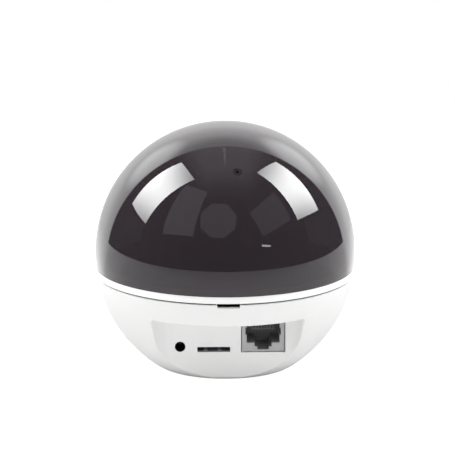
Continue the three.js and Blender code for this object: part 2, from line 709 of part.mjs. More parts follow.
const microphone = () => shifted(
  bar(MICROPHONE_RADIUS, [BOARD_TOP + GAP, BOARD_TOP + GAP + MICROPHONE_HEIGHT], SCREW_SIDES),
  0, BOARD_RADIUS - MICROPHONE_INSET);

// The speaker stands on the board's edge and faces its grille.
function speaker() {
  const body = turned([
    [0, 0],
    [SPEAKER_MAGNET_RADIUS, 0],
    [SPEAKER_RADIUS, SPEAKER_DEPTH / 2],
    [SPEAKER_RADIUS, SPEAKER_DEPTH],
    [0, SPEAKER_DEPTH],
  ]);
  return shifted(alongX(body), SPEAKER_FACE_RING - SPEAKER_DEPTH, 0, SPEAKER_CENTRE)
    .rotateZ(radians(SPEAKER_ANGLE));
}

// ---------------------------------------------------------------- network jack

function jackShield() {
  const outer = block(around(JACK_X, JACK_WIDTH), [JACK_FACE, JACK_END], [JACK_BOTTOM, JACK_TOP]);
  const inner = block(around(JACK_X, JACK_WIDTH - 2 * JACK_SHEET),
    [JACK_FACE - CUT_MARGIN, JACK_END - JACK_SHEET],
    [JACK_BOTTOM - CUT_MARGIN, JACK_TOP - JACK_SHEET]);
  return cut(outer, inner);
}

const PLUG_BOTTOM = JACK_BOTTOM + JACK_SILL + LATCH_HEIGHT + TAB_HEIGHT;
const PLUG_TOP = PLUG_BOTTOM + PLUG_HEIGHT;

function jackInsert() {
  const inset = JACK_SHEET + GAP / 2;
  const body = block(around(JACK_X, JACK_WIDTH - 2 * inset), [JACK_FACE, JACK_END - inset],
    [JACK_BOTTOM, JACK_TOP - inset]);
  const mouth = [JACK_FACE - CUT_MARGIN, JACK_FACE + PLUG_DEPTH];
  const plug = block(around(JACK_X, PLUG_WIDTH), mouth, [PLUG_BOTTOM, PLUG_TOP]);
  const tab = block(around(JACK_X, TAB_WIDTH), mouth, [PLUG_BOTTOM - TAB_HEIGHT, PLUG_TOP]);
  const latch = block(around(JACK_X, LATCH_WIDTH), mouth,
    [PLUG_BOTTOM - TAB_HEIGHT - LATCH_HEIGHT, PLUG_TOP]);
  return cut(body, plug, tab, latch);
}

// The contacts hang from the roof of the plug space on one carrier strip.
function jackContacts() {
  const carrierWidth = (CONTACT_COUNT - 1) * CONTACT_PITCH + 2 * CONTACT_WIDTH;
  const deep = JACK_FACE + PLUG_DEPTH - GAP;
  const roof = PLUG_TOP - GAP;
  const carrier = block(around(JACK_X, carrierWidth), [deep - CARRIER_WIDTH, deep],
    [roof - CARRIER_HEIGHT, roof]);
  const tip = deep - CONTACT_REACH;
  const bend = tip + CARRIER_WIDTH;
  const upper = roof - CONTACT_WIRE;
  const lower = upper - CONTACT_WIRE;
  const wires = [];
  for (let i = 0; i < CONTACT_COUNT; i += 1) {
    const x = JACK_X + (i - (CONTACT_COUNT - 1) / 2) * CONTACT_PITCH;
    const profile = new THREE.Shape();
    profile.moveTo(deep - CARRIER_WIDTH / 2, lower);
    profile.lineTo(deep - CARRIER_WIDTH / 2, upper);
    profile.lineTo(bend, upper);
    profile.lineTo(tip, upper - CONTACT_DROP);
    profile.lineTo(tip, lower - CONTACT_DROP);
    profile.lineTo(bend, lower);
    profile.closePath();
    wires.push(acrossX(raised(profile, around(x, CONTACT_WIDTH))));
  }
  return join(carrier, ...wires);
}

// ---------------------------------------------------------------- card socket and power jack

function cardSocket() {
  const width = CARD_SLOT_WIDTH + 2 * CARD_SOCKET_WALL;
  const front = -RECESS_INSIDE + GAP;
  const floor = BOARD_TOP + GAP / 2;
  const roof = CARD_CENTRE + CARD_SLOT_HEIGHT / 2;
  const body = block(around(CARD_X, width), [front, front + CARD_SOCKET_DEPTH], [floor, roof]);
  const hollow = block(around(CARD_X, CARD_SLOT_WIDTH),
    [front - CUT_MARGIN, front + CARD_SOCKET_DEPTH - CARD_SOCKET_WALL],
    [floor + CARD_SOCKET_WALL, roof - CARD_SOCKET_WALL]);
  return cut(body, hollow);
}

const POWER_FRONT = -RECESS_INSIDE + GAP;

function powerJack() {
  const body = block(around(POWER_X, POWER_BODY_WIDTH),
    [POWER_FRONT, POWER_FRONT + POWER_BODY_DEPTH],
    [BOARD_TOP + GAP, BOARD_TOP + GAP + POWER_BODY_HEIGHT]);
  const bore = alongY(bar(POWER_HOLE_RADIUS - GAP / 2,
    [POWER_FRONT - CUT_MARGIN, POWER_FRONT + POWER_BORE_DEPTH]));
  return cut(body, shifted(bore, POWER_X, 0, POWER_CENTRE));
}

const powerPin = () => shifted(
  alongY(bar(POWER_PIN_RADIUS,
    [POWER_FRONT + POWER_PIN_SETBACK, POWER_FRONT + POWER_BORE_DEPTH - GAP], SCREW_SIDES)),
  POWER_X, 0, POWER_CENTRE);

// ---------------------------------------------------------------- reset button

const RESET_BOTTOM = FOOT_THICKNESS + RESET_SUNK;
const RESET_FLANGE_BOTTOM = FOOT_THICKNESS + COVER_THICKNESS + GAP;
const SWITCH_BOTTOM = BOARD_HEIGHT - GAP - SWITCH_HEIGHT;
const RESET_TOP = SWITCH_BOTTOM - RESET_TRAVEL - GAP / 2;

const resetButton = () => shifted(turned([
  [0, RESET_BOTTOM],
  [RESET_RADIUS, RESET_BOTTOM],
  [RESET_RADIUS, RESET_FLANGE_BOTTOM],
  [RESET_RADIUS + RESET_FLANGE, RESET_FLANGE_BOTTOM],
  [RESET_RADIUS + RESET_FLANGE, RESET_FLANGE_BOTTOM + RESET_FLANGE_HEIGHT],
  [RESET_RADIUS, RESET_FLANGE_BOTTOM + RESET_FLANGE_HEIGHT],
  [RESET_RADIUS, RESET_TOP],
  [0, RESET_TOP],
], DRUM_SIDES), 0, RESET_Y);

const resetSwitch = () => block(around(0, SWITCH_SIZE), around(RESET_Y, SWITCH_SIZE),
  [SWITCH_BOTTOM, SWITCH_BOTTOM + SWITCH_HEIGHT]);

// ---------------------------------------------------------------- pan drive

const PAN_GEAR_BOTTOM = DECK_TOP + PAN_GEAR_LIFT;
const TURNTABLE_BOTTOM = PAN_GEAR_BOTTOM + PAN_GEAR_THICKNESS;
const TURNTABLE_TOP = TURNTABLE_BOTTOM + TURNTABLE_THICKNESS;
const HUB_BORE = HUB_RADIUS - HUB_WALL;
const PAN_MOTOR_TOP = DECK_BOTTOM - GAP;

function panMotor() {
  const can = bar(PAN_MOTOR_RADIUS, [PAN_MOTOR_TOP - PAN_MOTOR_LENGTH, PAN_MOTOR_TOP]);
  const bore = bar(PAN_SHAFT_RADIUS + GAP,
    [PAN_MOTOR_TOP - PAN_SHAFT_GRIP, PAN_MOTOR_TOP + CUT_MARGIN], SCREW_SIDES);
  return shifted(cut(can, bore), 0, PAN_CENTRE_DISTANCE);
}

// The pinion's tooth gap faces the gear, which turns one of its teeth to the pinion.
function panPinion() {
  const turn = -Math.PI / 2 + toothStep(PAN_PINION_TEETH);
  const teeth = raised(gearShape(PAN_PINION_TEETH, PAN_MODULE, turn, 0),
    [PAN_GEAR_BOTTOM, TURNTABLE_BOTTOM - GAP]);
  const shaft = bar(PAN_SHAFT_RADIUS,
    [PAN_MOTOR_TOP - PAN_SHAFT_GRIP + GAP, PAN_GEAR_BOTTOM + CUT_MARGIN], SCREW_SIDES);
  return shifted(join(teeth, shaft), 0, PAN_CENTRE_DISTANCE);
}

const panGear = () => raised(
  gearShape(PAN_GEAR_TEETH, PAN_MODULE, Math.PI / 2, HUB_RADIUS + GAP),
  [PAN_GEAR_BOTTOM, TURNTABLE_BOTTOM], 8);

const panBush = () =>
  tube(HUB_RADIUS + GAP, BUSH_RADIUS, [DECK_BOTTOM, DECK_TOP + GAP / 2]);

const RETAINER_TOP = DECK_BOTTOM - GAP;
const HUB_BOTTOM = DECK_BOTTOM - HUB_TAIL;

const panRetainer = () => tube(HUB_RADIUS + GAP, HUB_RADIUS + GAP + RETAINER_WALL,
  [RETAINER_TOP - RETAINER_THICKNESS, RETAINER_TOP]);

const turntable = () => turned(closed([
  [HUB_BORE, HUB_BOTTOM],
  [HUB_RADIUS, HUB_BOTTOM],
  [HUB_RADIUS, TURNTABLE_BOTTOM],
  [TURNTABLE_RADIUS, TURNTABLE_BOTTOM],
  [TURNTABLE_RADIUS, TURNTABLE_TOP],
  [HUB_BORE, TURNTABLE_TOP],
]), SHROUD_SIDES);

const headCable = () =>
  bar(CABLE_RADIUS, [BOARD_TOP + GAP, TURNTABLE_TOP + CABLE_TAIL], SCREW_SIDES);

// ---------------------------------------------------------------- camera head

const TILT_AXIS = TURNTABLE_TOP + HEAD_CLEARANCE + HEAD_RADIUS;
const ARM_INNER = HEAD_HALF_WIDTH + ARM_GAP;
const ARM_OUTER = ARM_INNER + ARM_THICKNESS;
const TILT_GEAR_INNER = ARM_OUTER + 3 * GAP;
const TILT_GEAR_OUTER = TILT_GEAR_INNER + TILT_GEAR_THICKNESS;

// A ball flattened on its two sides, about the tilt axis.
const flatBall = (radius, halfWidth) => common(
  turned(arc(0, radius, -radius, radius, 8), HEAD_SIDES),
  block([-halfWidth, halfWidth], [-radius, radius], [-radius, radius]));

const headBall = () =>
  cut(flatBall(HEAD_RADIUS, HEAD_HALF_WIDTH),
    flatBall(HEAD_RADIUS - HEAD_WALL, HEAD_HALF_WIDTH - HEAD_WALL));

const headSpan = [-HEAD_RADIUS - CUT_MARGIN, HEAD_RADIUS + CUT_MARGIN];

function headRearShell() {
  const rear = common(headBall(),
    block(headSpan, [-HEAD_RADIUS - CUT_MARGIN, HEAD_SPLIT - GAP / 2], headSpan));
  const pivot = alongX(bar(TRUNNION_RADIUS,
    [HEAD_HALF_WIDTH - HEAD_WALL / 2, HEAD_HALF_WIDTH + TRUNNION_LENGTH]));
  const leftPivot = alongX(bar(TRUNNION_RADIUS,
    [-HEAD_HALF_WIDTH - TRUNNION_LENGTH, -HEAD_HALF_WIDTH + HEAD_WALL / 2]));
  const gearShaft = alongX(bar(TILT_GEAR_BORE - GAP,
    [-TILT_GEAR_OUTER - GAP, -HEAD_HALF_WIDTH], SCREW_SIDES));
  return join(rear, pivot, leftPivot, gearShaft);
}

function headFrontShell() {
  const frontBlock = block(headSpan,
    [HEAD_SPLIT + GAP / 2, SNOUT_LENGTH + CUT_MARGIN], headSpan);
  const snout = alongY(turned([
    [0, 0],
    [SNOUT_RADIUS, 0],
    [SNOUT_RADIUS, SNOUT_LENGTH - SNOUT_BEVEL],
    [SNOUT_RADIUS - SNOUT_BEVEL, SNOUT_LENGTH],
    [0, SNOUT_LENGTH],
  ], HEAD_SIDES));
  const ball = flatBall(HEAD_RADIUS, HEAD_HALF_WIDTH);
  const innerBall = flatBall(HEAD_RADIUS - HEAD_WALL, HEAD_HALF_WIDTH - HEAD_WALL);
  const bore = alongY(bar(SNOUT_RADIUS - SNOUT_WALL, [0, SNOUT_LENGTH + CUT_MARGIN]));
  return cut(common(join(ball, snout), frontBlock), innerBall, bore);
}

const SNOUT_BORE = SNOUT_RADIUS - SNOUT_WALL;
const WINDOW_FRONT = SNOUT_LENGTH - WINDOW_SUNK;
const WINDOW_BACK = WINDOW_FRONT - WINDOW_THICKNESS;
const LENS_RING_RADIUS = LENS_BORE_RADIUS + LENS_RING_WIDTH;
const LENS_FRONT = WINDOW_BACK - GAP;
const SENSOR_BOARD_FRONT = HEAD_SPLIT - GAP;
const SWITCHER_BACK = SENSOR_BOARD_FRONT + GAP;
const LENS_BACK = SWITCHER_BACK + SWITCHER_DEPTH + GAP;
const INFRARED_BOARD_FRONT = SNOUT_LENGTH - INFRARED_BOARD_DEPTH + INFRARED_BOARD_THICKNESS;
const EMITTER_RING = (LENS_BARREL_RADIUS + GAP + SNOUT_BORE - GAP) / 2;

const faceWindow = () => alongY(tube(LENS_RING_RADIUS + GAP, SNOUT_BORE - GAP,
  [WINDOW_BACK, WINDOW_FRONT]));

const lensBarrel = () => alongY(turned(closed([
  [LENS_BORE_RADIUS, LENS_BACK],
  [LENS_FLANGE_RADIUS, LENS_BACK],
  [LENS_FLANGE_RADIUS, LENS_BACK + LENS_FLANGE_HEIGHT],
  [LENS_BARREL_RADIUS, LENS_BACK + LENS_FLANGE_HEIGHT],
  [LENS_BARREL_RADIUS, LENS_FRONT],
  [LENS_BORE_RADIUS, LENS_FRONT],
])));

const lensGlassPiece = () => alongY(turned([
  [0, LENS_FRONT - LENS_GLASS_THICKNESS],
  [LENS_BORE_RADIUS - GAP, LENS_FRONT - LENS_GLASS_THICKNESS],
  [LENS_BORE_RADIUS - GAP, LENS_FRONT - LENS_CROWN],
  [LENS_SHOULDER_RADIUS, LENS_FRONT - LENS_SHOULDER],
  [0, LENS_FRONT],
]));

const lensRing = () =>
  alongY(tube(LENS_BORE_RADIUS, LENS_RING_RADIUS, [WINDOW_BACK, WINDOW_FRONT]));

const infraredBoard = () => alongY(tube(LENS_BARREL_RADIUS + GAP, SNOUT_BORE - GAP,
  [INFRARED_BOARD_FRONT - INFRARED_BOARD_THICKNESS, INFRARED_BOARD_FRONT]));

function emitter(index) {
  const [x, z] = polar(EMITTER_RING, 45 + (360 / EMITTER_COUNT) * index);
  const body = alongY(turned([
    [0, INFRARED_BOARD_FRONT + GAP],
    [EMITTER_RADIUS, INFRARED_BOARD_FRONT + GAP],
    [EMITTER_RADIUS, INFRARED_BOARD_FRONT + EMITTER_HEIGHT - GAP],
    [EMITTER_RADIUS / 2, INFRARED_BOARD_FRONT + EMITTER_HEIGHT],
    [0, INFRARED_BOARD_FRONT + EMITTER_HEIGHT],
  ], 8));
  return shifted(body, x, 0, z);
}

const sensorBoard = () => block(around(0, SENSOR_BOARD_WIDTH),
  [SENSOR_BOARD_FRONT - SENSOR_BOARD_THICKNESS, SENSOR_BOARD_FRONT],
  around(0, SENSOR_BOARD_HEIGHT));

const imageSensor = () => block(around(0, SENSOR_SIZE),
  [SWITCHER_BACK, SWITCHER_BACK + SENSOR_THICKNESS], around(0, SENSOR_SIZE));

const filterSwitcher = () => cut(
  block(around(0, SWITCHER_WIDTH), [SWITCHER_BACK, SWITCHER_BACK + SWITCHER_DEPTH],
    around(0, SWITCHER_HEIGHT)),
  block(around(0, SWITCHER_WINDOW), [0, SNOUT_LENGTH], around(0, SWITCHER_WINDOW)));

// ---------------------------------------------------------------- tilt drive

const TILT_CENTRE_DISTANCE = (TILT_MODULE * (TILT_GEAR_TEETH + TILT_PINION_TEETH)) / 2;
const tiltPinionY = -TILT_CENTRE_DISTANCE * Math.cos(radians(TILT_DRIVE_ANGLE));
const tiltPinionZ = -TILT_CENTRE_DISTANCE * Math.sin(radians(TILT_DRIVE_ANGLE));
const TILT_MOTOR_FACE = TILT_GEAR_OUTER + 2 * GAP;

// The motor reaches out to the inside of the shroud.
const shroudInnerRadius = SHROUD_RADIUS - SHROUD_WALL;
const tiltMotorReach = TILT_MOTOR_RADIUS
  + Math.hypot(tiltPinionY, TILT_AXIS + tiltPinionZ - DOME_CENTRE);
const TILT_MOTOR_LENGTH = Math.sqrt(shroudInnerRadius ** 2 - tiltMotorReach ** 2)
  - TILT_MOTOR_FACE - TILT_MOTOR_CLEARANCE;

const towardsPinion = Math.PI + radians(TILT_DRIVE_ANGLE);

const tiltGear = () => acrossX(raised(
  gearShape(TILT_GEAR_TEETH, TILT_MODULE, towardsPinion, TILT_GEAR_BORE),
  [-TILT_GEAR_OUTER, -TILT_GEAR_INNER], 5));

function tiltPinion() {
  const turn = towardsPinion + Math.PI + toothStep(TILT_PINION_TEETH);
  const teeth = acrossX(raised(gearShape(TILT_PINION_TEETH, TILT_MODULE, turn, 0),
    [-TILT_GEAR_OUTER, -TILT_GEAR_INNER]));
  const shaft = acrossX(bar(TILT_SHAFT_RADIUS,
    [-TILT_MOTOR_FACE - TILT_SHAFT_GRIP + GAP, -TILT_GEAR_OUTER + CUT_MARGIN], SCREW_SIDES));
  return join(teeth, shaft).translate(0, tiltPinionY, tiltPinionZ);
}

function tiltMotor() {
  const can = bar(TILT_MOTOR_RADIUS, [-TILT_MOTOR_FACE - TILT_MOTOR_LENGTH, -TILT_MOTOR_FACE]);
  const bore = bar(TILT_SHAFT_RADIUS + GAP,
    [-TILT_MOTOR_FACE - TILT_SHAFT_GRIP, -TILT_MOTOR_FACE + CUT_MARGIN], SCREW_SIDES);
  return acrossX(cut(can, bore)).translate(0, tiltPinionY, tiltPinionZ);
}

// ---------------------------------------------------------------- yoke

function armShape() {
  const half = ARM_WIDTH / 2;
  const shape = new THREE.Shape();
  shape.moveTo(-half, TURNTABLE_TOP - TILT_AXIS);
  shape.lineTo(half, TURNTABLE_TOP - TILT_AXIS);
  shape.lineTo(half, 0);
  shape.absarc(0, 0, half, 0, Math.PI, false);
  shape.closePath();
  const hole = new THREE.Path();
  hole.absarc(0, 0, TRUNNION_RADIUS + GAP, 0, 2 * Math.PI, true);
  shape.holes.push(hole);
  return shape;
}

// Two arms on a foot, with a saddle under the tilt motor. The foot is open over the hub's bore.
function tiltYoke() {
  const floor = TURNTABLE_TOP - TILT_AXIS;
  const footTop = floor + YOKE_BASE_THICKNESS;
  const arms = [[-ARM_OUTER, -ARM_INNER], [ARM_INNER, ARM_OUTER]]
    .map((span) => acrossX(raised(armShape(), span, 6)));
  const foot = block([-ARM_OUTER, ARM_OUTER], [-YOKE_BASE_HALF_DEPTH, YOKE_BASE_HALF_DEPTH],
    [floor, footTop]);
  const cableHole = bar(HUB_BORE, [floor - CUT_MARGIN, footTop + CUT_MARGIN]);
  const saddleTop = tiltPinionZ - TILT_MOTOR_RADIUS - GAP;
  const saddle = block([-TILT_MOTOR_FACE - TILT_MOTOR_LENGTH, -ARM_INNER - GAP],
    around(tiltPinionY, TILT_MOTOR_RADIUS), [floor, saddleTop]);
  const footLink = block([-TILT_MOTOR_FACE - TILT_MOTOR_LENGTH, 0],
    around(tiltPinionY, TILT_MOTOR_RADIUS), [floor, footTop]);
  const gearRoom = block([-TILT_GEAR_OUTER - GAP, -ARM_OUTER], [-HEAD_RADIUS * 2, HEAD_RADIUS],
    [footTop, HEAD_RADIUS]);
  return join(cut(foot, cableHole), cut(footLink, cableHole), ...arms, cut(saddle, gearRoom));
}

// ---------------------------------------------------------------- inner shroud

const SHROUD_BOTTOM = TURNTABLE_TOP + GAP;
const SHROUD_FLANGE_RADIUS = TURNTABLE_RADIUS - SHROUD_FLANGE_INSET;

// From just inside the shroud's wall to just outside it.
const acrossWall = [shroudInnerRadius - CUT_MARGIN, SHROUD_RADIUS + CUT_MARGIN];

function innerShroud() {
  const outer = turned([
    [0, SHROUD_BOTTOM],
    [SHROUD_FLANGE_RADIUS, SHROUD_BOTTOM],
    [SHROUD_FLANGE_RADIUS, SHROUD_BOTTOM + SHROUD_FLANGE_HEIGHT],
    ...arc(DOME_CENTRE, SHROUD_RADIUS, SHROUD_BOTTOM + SHROUD_FLANGE_HEIGHT,
      DOME_CENTRE + SHROUD_RADIUS, 10),
  ], SHROUD_SIDES);
  const inner = turned([
    [0, SHROUD_BOTTOM - CUT_MARGIN],
    ...arc(DOME_CENTRE, shroudInnerRadius, SHROUD_BOTTOM - CUT_MARGIN,
      DOME_CENTRE + shroudInnerRadius, 9),
  ], SHROUD_SIDES);
  const slot = block([-SHROUD_SLOT_HALF_WIDTH, SHROUD_SLOT_HALF_WIDTH],
    [-SHROUD_SLOT_BACK, BALL_RADIUS],
    [SHROUD_BOTTOM + SHROUD_SLOT_SILL, DOME_CENTRE + BALL_RADIUS]);
  const screwHole = outOfBall(bar(BOSS_BORE, acrossWall, SCREW_SIDES),
    SHROUD_SCREW_RISE_ANGLE, SHROUD_SCREW_TURN_ANGLE);
  const lightRoom = block(around(0, STATUS_LIGHT_WIDTH + 2 * GAP),
    around(0, STATUS_LIGHT_HEIGHT + 2 * GAP), acrossWall);
  const lightHole = outOfBall(lightRoom.rotateZ(radians(STATUS_LIGHT_ROLL_ANGLE)),
    STATUS_LIGHT_RISE_ANGLE, STATUS_LIGHT_TURN_ANGLE);
  return cut(outer, inner, slot, screwHole, lightHole);
}

const shroudScrew = () => outOfBall(
  screw(SHROUD_WALL).translate(0, 0, SHROUD_RADIUS + GAP / 2),
  SHROUD_SCREW_RISE_ANGLE, SHROUD_SCREW_TURN_ANGLE);

const statusLight = () => outOfBall(
  block(around(0, STATUS_LIGHT_WIDTH), around(0, STATUS_LIGHT_HEIGHT),
    [SHROUD_RADIUS - STATUS_LIGHT_DEPTH, SHROUD_RADIUS]).rotateZ(radians(STATUS_LIGHT_ROLL_ANGLE)),
  STATUS_LIGHT_RISE_ANGLE, STATUS_LIGHT_TURN_ANGLE);

// ---------------------------------------------------------------- assembly

const securityCamera = new THREE.Group();
const base = new THREE.Group();
const pan = new THREE.Group();
const tiltFrame = new THREE.Group();
securityCamera.add(base, pan);
pan.add(tiltFrame);
tiltFrame.position.z = TILT_AXIS;

function addPiece(group, name, geometry, material) {
  const mesh = new THREE.Mesh(geometryFrom(solidFrom(geometry)), material());
  mesh.name = name;
  group.add(mesh);
  return mesh;
}

addPiece(base, 'base_shell', baseShell(), whitePlastic);
addPiece(base, 'bottom_cover', bottomCover(), greyPlastic);
addPiece(base, 'foot_ring', footRing(), paleSilicone);
addPiece(base, 'trim_ring', trimRing(), glossWhite);
addPiece(base, 'dome_cover', domeCover(), smokeDome);
addPiece(base, 'chassis_deck', chassisDeck(), blackPlastic);
addPiece(base, 'main_board', mainBoard(), boardGreen);
addPiece(base, 'processor_chip', processorChip(), chipBlack);
addPiece(base, 'heat_spreader', heatSpreader(), aluminium);
addPiece(base, 'radio_module', radioModule(), bareMetal);
addPiece(base, 'radio_antenna', antenna(), boardGreen);
addPiece(base, 'network_jack_shield', jackShield(), bareMetal);
addPiece(base, 'network_jack_insert', jackInsert(), greyPlastic);
addPiece(base, 'network_jack_contacts', jackContacts(), bareMetal);
addPiece(base, 'network_transformer', jackTransformer(), chipBlack);
addPiece(base, 'card_socket', cardSocket(), bareMetal);
addPiece(base, 'power_jack', powerJack(), blackPlastic);
addPiece(base, 'power_jack_pin', powerPin(), steel);
addPiece(base, 'reset_switch', resetSwitch(), chipBlack);
addPiece(base, 'reset_button', resetButton(), greyPlastic);
addPiece(base, 'speaker', speaker(), blackPlastic);
addPiece(base, 'microphone', microphone(), bareMetal);
addPiece(base, 'pan_motor', panMotor(), steel);
addPiece(base, 'pan_bush', panBush(), gearPlastic);
addPiece(base, 'head_cable', headCable(), cableGrey);
addPiece(base, 'pan_pinion', panPinion(), gearPlastic);

DECK_BOSS_ANGLES.forEach((angle, index) => {
  const piece = addPiece(base, `deck_screw_${index + 1}`, screw(DECK_SCREW_LENGTH), steel);
  piece.position.set(...polar(DECK_BOSS_RING, angle), DECK_TOP + GAP / 2);
});

BOARD_POST_ANGLES.forEach((angle, index) => {
  const piece = addPiece(base, `board_screw_${index + 1}`, screw(BOARD_SCREW_LENGTH), steel);
  piece.position.set(...polar(BOARD_POST_RING, angle), BOARD_TOP + GAP / 2);
});

const COVER_SCREW_SEAT = FOOT_THICKNESS + COVER_COUNTERBORE - GAP / 2;

COVER_SCREW_ANGLES.forEach((angle, index) => {
  const piece = addPiece(base, `cover_screw_${index + 1}`, screw(COVER_SCREW_LENGTH), steel);
  piece.rotation.x = Math.PI;
  piece.position.set(...polar(COVER_SCREW_RING, angle), COVER_SCREW_SEAT);
});

addPiece(pan, 'turntable', turntable(), blackPlastic);
addPiece(pan, 'pan_gear', panGear(), gearPlastic);
addPiece(pan, 'pan_retainer', panRetainer(), gearPlastic);
addPiece(pan, 'inner_shroud', innerShroud(), blackPlastic);
addPiece(pan, 'shroud_screw', shroudScrew(), steel);
addPiece(pan, 'status_light', statusLight(), lightWindow);
addPiece(tiltFrame, 'tilt_yoke', tiltYoke(), blackPlastic);
addPiece(tiltFrame, 'tilt_motor', tiltMotor(), steel);
addPiece(tiltFrame, 'tilt_pinion', tiltPinion(), gearPlastic);
addPiece(tiltFrame, 'tilt_gear', tiltGear(), gearPlastic);
addPiece(tiltFrame, 'head_rear_shell', headRearShell(), blackPlastic);
addPiece(tiltFrame, 'head_front_shell', headFrontShell(), blackPlastic);
addPiece(tiltFrame, 'face_window', faceWindow(), glossBlack);
addPiece(tiltFrame, 'lens_barrel', lensBarrel(), blackPlastic);
addPiece(tiltFrame, 'lens_glass', lensGlassPiece(), lensGlass);
addPiece(tiltFrame, 'lens_ring', lensRing(), blackPlastic);
addPiece(tiltFrame, 'infrared_board', infraredBoard(), boardGreen);
addPiece(tiltFrame, 'sensor_board', sensorBoard(), boardGreen);
addPiece(tiltFrame, 'image_sensor', imageSensor(), chipBlack);
addPiece(tiltFrame, 'filter_switcher', filterSwitcher(), blackPlastic);

for (let i = 0; i < EMITTER_COUNT; i += 1) {
  addPiece(tiltFrame, `infrared_emitter_${i + 1}`, emitter(i), emitterClear);
}

export default securityCamera;
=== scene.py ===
# %% [markdown]
# # A small pan and tilt security camera
#
# The real thing is a ball of about 94 mm that stands on a thin silicone foot. Its lower part is a white
# moulded casing with the sockets in a recess at the back. A white band carries a smoke-tinted dome, and
# a camera head pans and tilts under it.
#
# The working solids are already made, so this lesson loads them as a fixed frame and dresses them. A
# solid whose shape is good enough only gets a finish. A solid that shows its flat facets is replaced by
# a finer piece of the same size, in the same place.

import json
import math

import bpy
from mathutils import Matrix, Vector


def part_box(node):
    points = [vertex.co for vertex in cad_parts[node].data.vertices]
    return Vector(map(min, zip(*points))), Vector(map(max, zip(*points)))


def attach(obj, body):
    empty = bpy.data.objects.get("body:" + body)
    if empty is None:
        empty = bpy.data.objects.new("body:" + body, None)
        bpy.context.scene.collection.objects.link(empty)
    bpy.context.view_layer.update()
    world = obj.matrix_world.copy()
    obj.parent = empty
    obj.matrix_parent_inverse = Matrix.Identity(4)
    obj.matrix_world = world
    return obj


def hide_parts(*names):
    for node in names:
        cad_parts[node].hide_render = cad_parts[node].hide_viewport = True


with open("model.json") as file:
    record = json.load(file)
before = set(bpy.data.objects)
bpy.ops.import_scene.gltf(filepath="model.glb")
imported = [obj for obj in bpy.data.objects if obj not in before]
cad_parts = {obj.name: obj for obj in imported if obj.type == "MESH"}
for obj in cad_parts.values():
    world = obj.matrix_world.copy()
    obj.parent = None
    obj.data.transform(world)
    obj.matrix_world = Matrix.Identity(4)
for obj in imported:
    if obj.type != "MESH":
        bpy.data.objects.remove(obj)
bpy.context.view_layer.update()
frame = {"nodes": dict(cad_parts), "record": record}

# %% [markdown]
# ## Sizes taken from the frame
#
# The ball decides nearly everything, so it is measured first. The dome's box gives its radius and the
# height of its centre. The casing below is a ball of the same radius with its centre a little lower,
# which is why the two halves don't quite make one ball.

# %% Measure the ball
BALL_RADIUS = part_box("dome_cover")[1].x
DOME_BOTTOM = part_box("dome_cover")[0].z
DOME_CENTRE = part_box("dome_cover")[1].z - BALL_RADIUS
DOME_LIFT = 0.0015
CASING_CENTRE = DOME_CENTRE - DOME_LIFT
CASING_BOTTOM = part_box("base_shell")[0].z
CASING_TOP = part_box("base_shell")[1].z
FITTING_GAP = 0.0003
CUT_MARGIN = 0.001
dome_middle = Vector((0, 0, DOME_CENTRE))
print(f"ball radius {BALL_RADIUS * 1000:.1f} mm, dome centre {DOME_CENTRE * 1000:.2f} mm up")


def circle_at(centre, radius, height):
    """The radius of a ball's level section at a height."""
    return math.sqrt(max(radius**2 - (height - centre) ** 2, 0))


def centre_of(node):
    """The middle of a solid's box."""
    low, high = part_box(node)
    return (low + high) / 2


def outward(rise, turn):
    """A direction away from the object, given how far it rises and how far it turns from the back."""
    return Vector((math.cos(rise) * math.sin(turn), -math.cos(rise) * math.cos(turn), math.sin(rise)))


# %% [markdown]
# ## Tools for shaping
#
# The pieces below are made as by hand: a primitive, a few edit-mode steps, and modifiers that are then
# applied. An operator acts on everything that is selected, so each step starts from an empty selection.


# %% Helpers for selecting
def only(piece):
    """Selects one piece and makes it the active one."""
    bpy.ops.object.select_all(action="DESELECT")
    piece.select_set(True)
    bpy.context.view_layer.objects.active = piece
    return piece


def settle(piece):
    """Puts a piece's place, turn and scale into its mesh."""
    only(piece)
    bpy.ops.object.transform_apply(location=True, rotation=True, scale=True)
    return piece


def named(name):
    """Names the newest primitive and settles it."""
    piece = bpy.context.object
    piece.name = name
    piece.data.name = name
    return settle(piece)


def pick(piece, kind, test):
    """Opens a piece in edit mode with the points or the edges selected that pass a test."""
    only(piece)
    bpy.ops.object.mode_set(mode="EDIT")
    bpy.ops.mesh.select_mode(type={"points": "VERT", "edges": "EDGE"}[kind])
    bpy.ops.mesh.select_all(action="DESELECT")
    bpy.ops.object.mode_set(mode="OBJECT")
    places = [vertex.co for vertex in piece.data.vertices]
    if kind == "points":
        for vertex in piece.data.vertices:
            vertex.select = test(vertex.co)
    else:
        for edge in piece.data.edges:
            edge.select = test(*[places[end] for end in edge.vertices])
    bpy.ops.object.mode_set(mode="EDIT")


def open_all(piece):
    """Opens a piece in edit mode with all of it selected."""
    pick(piece, "points", lambda place: True)


def done():
    """Leaves edit mode."""
    bpy.ops.object.mode_set(mode="OBJECT")


# %% Helpers for cutting and joining
CREASE_ANGLE = math.radians(35)
ROUND_EDGE = 0.0003
CRISP_EDGE = 0.0002
SHARP_EDGE = 0.0001


def modify(piece, kind, **settings):
    """Adds a modifier and applies it."""
    only(piece)
    modifier = piece.modifiers.new(kind.lower(), kind)
    for name, value in settings.items():
        setattr(modifier, name, value)
    bpy.ops.object.modifier_apply(modifier=modifier.name)
    return piece


def combine(piece, *others, operation="DIFFERENCE"):
    """Cuts, joins or crosses one piece with others, which are used up."""
    for other in others:
        modify(piece, "BOOLEAN", object=other, operation=operation, solver="EXACT")
        bpy.data.objects.remove(other)
    return piece


def together(name, *pieces):
    """Puts pieces that don't touch into one mesh."""
    only(pieces[0])
    for piece in pieces:
        piece.select_set(True)
    bpy.ops.object.join()
    return named(name)


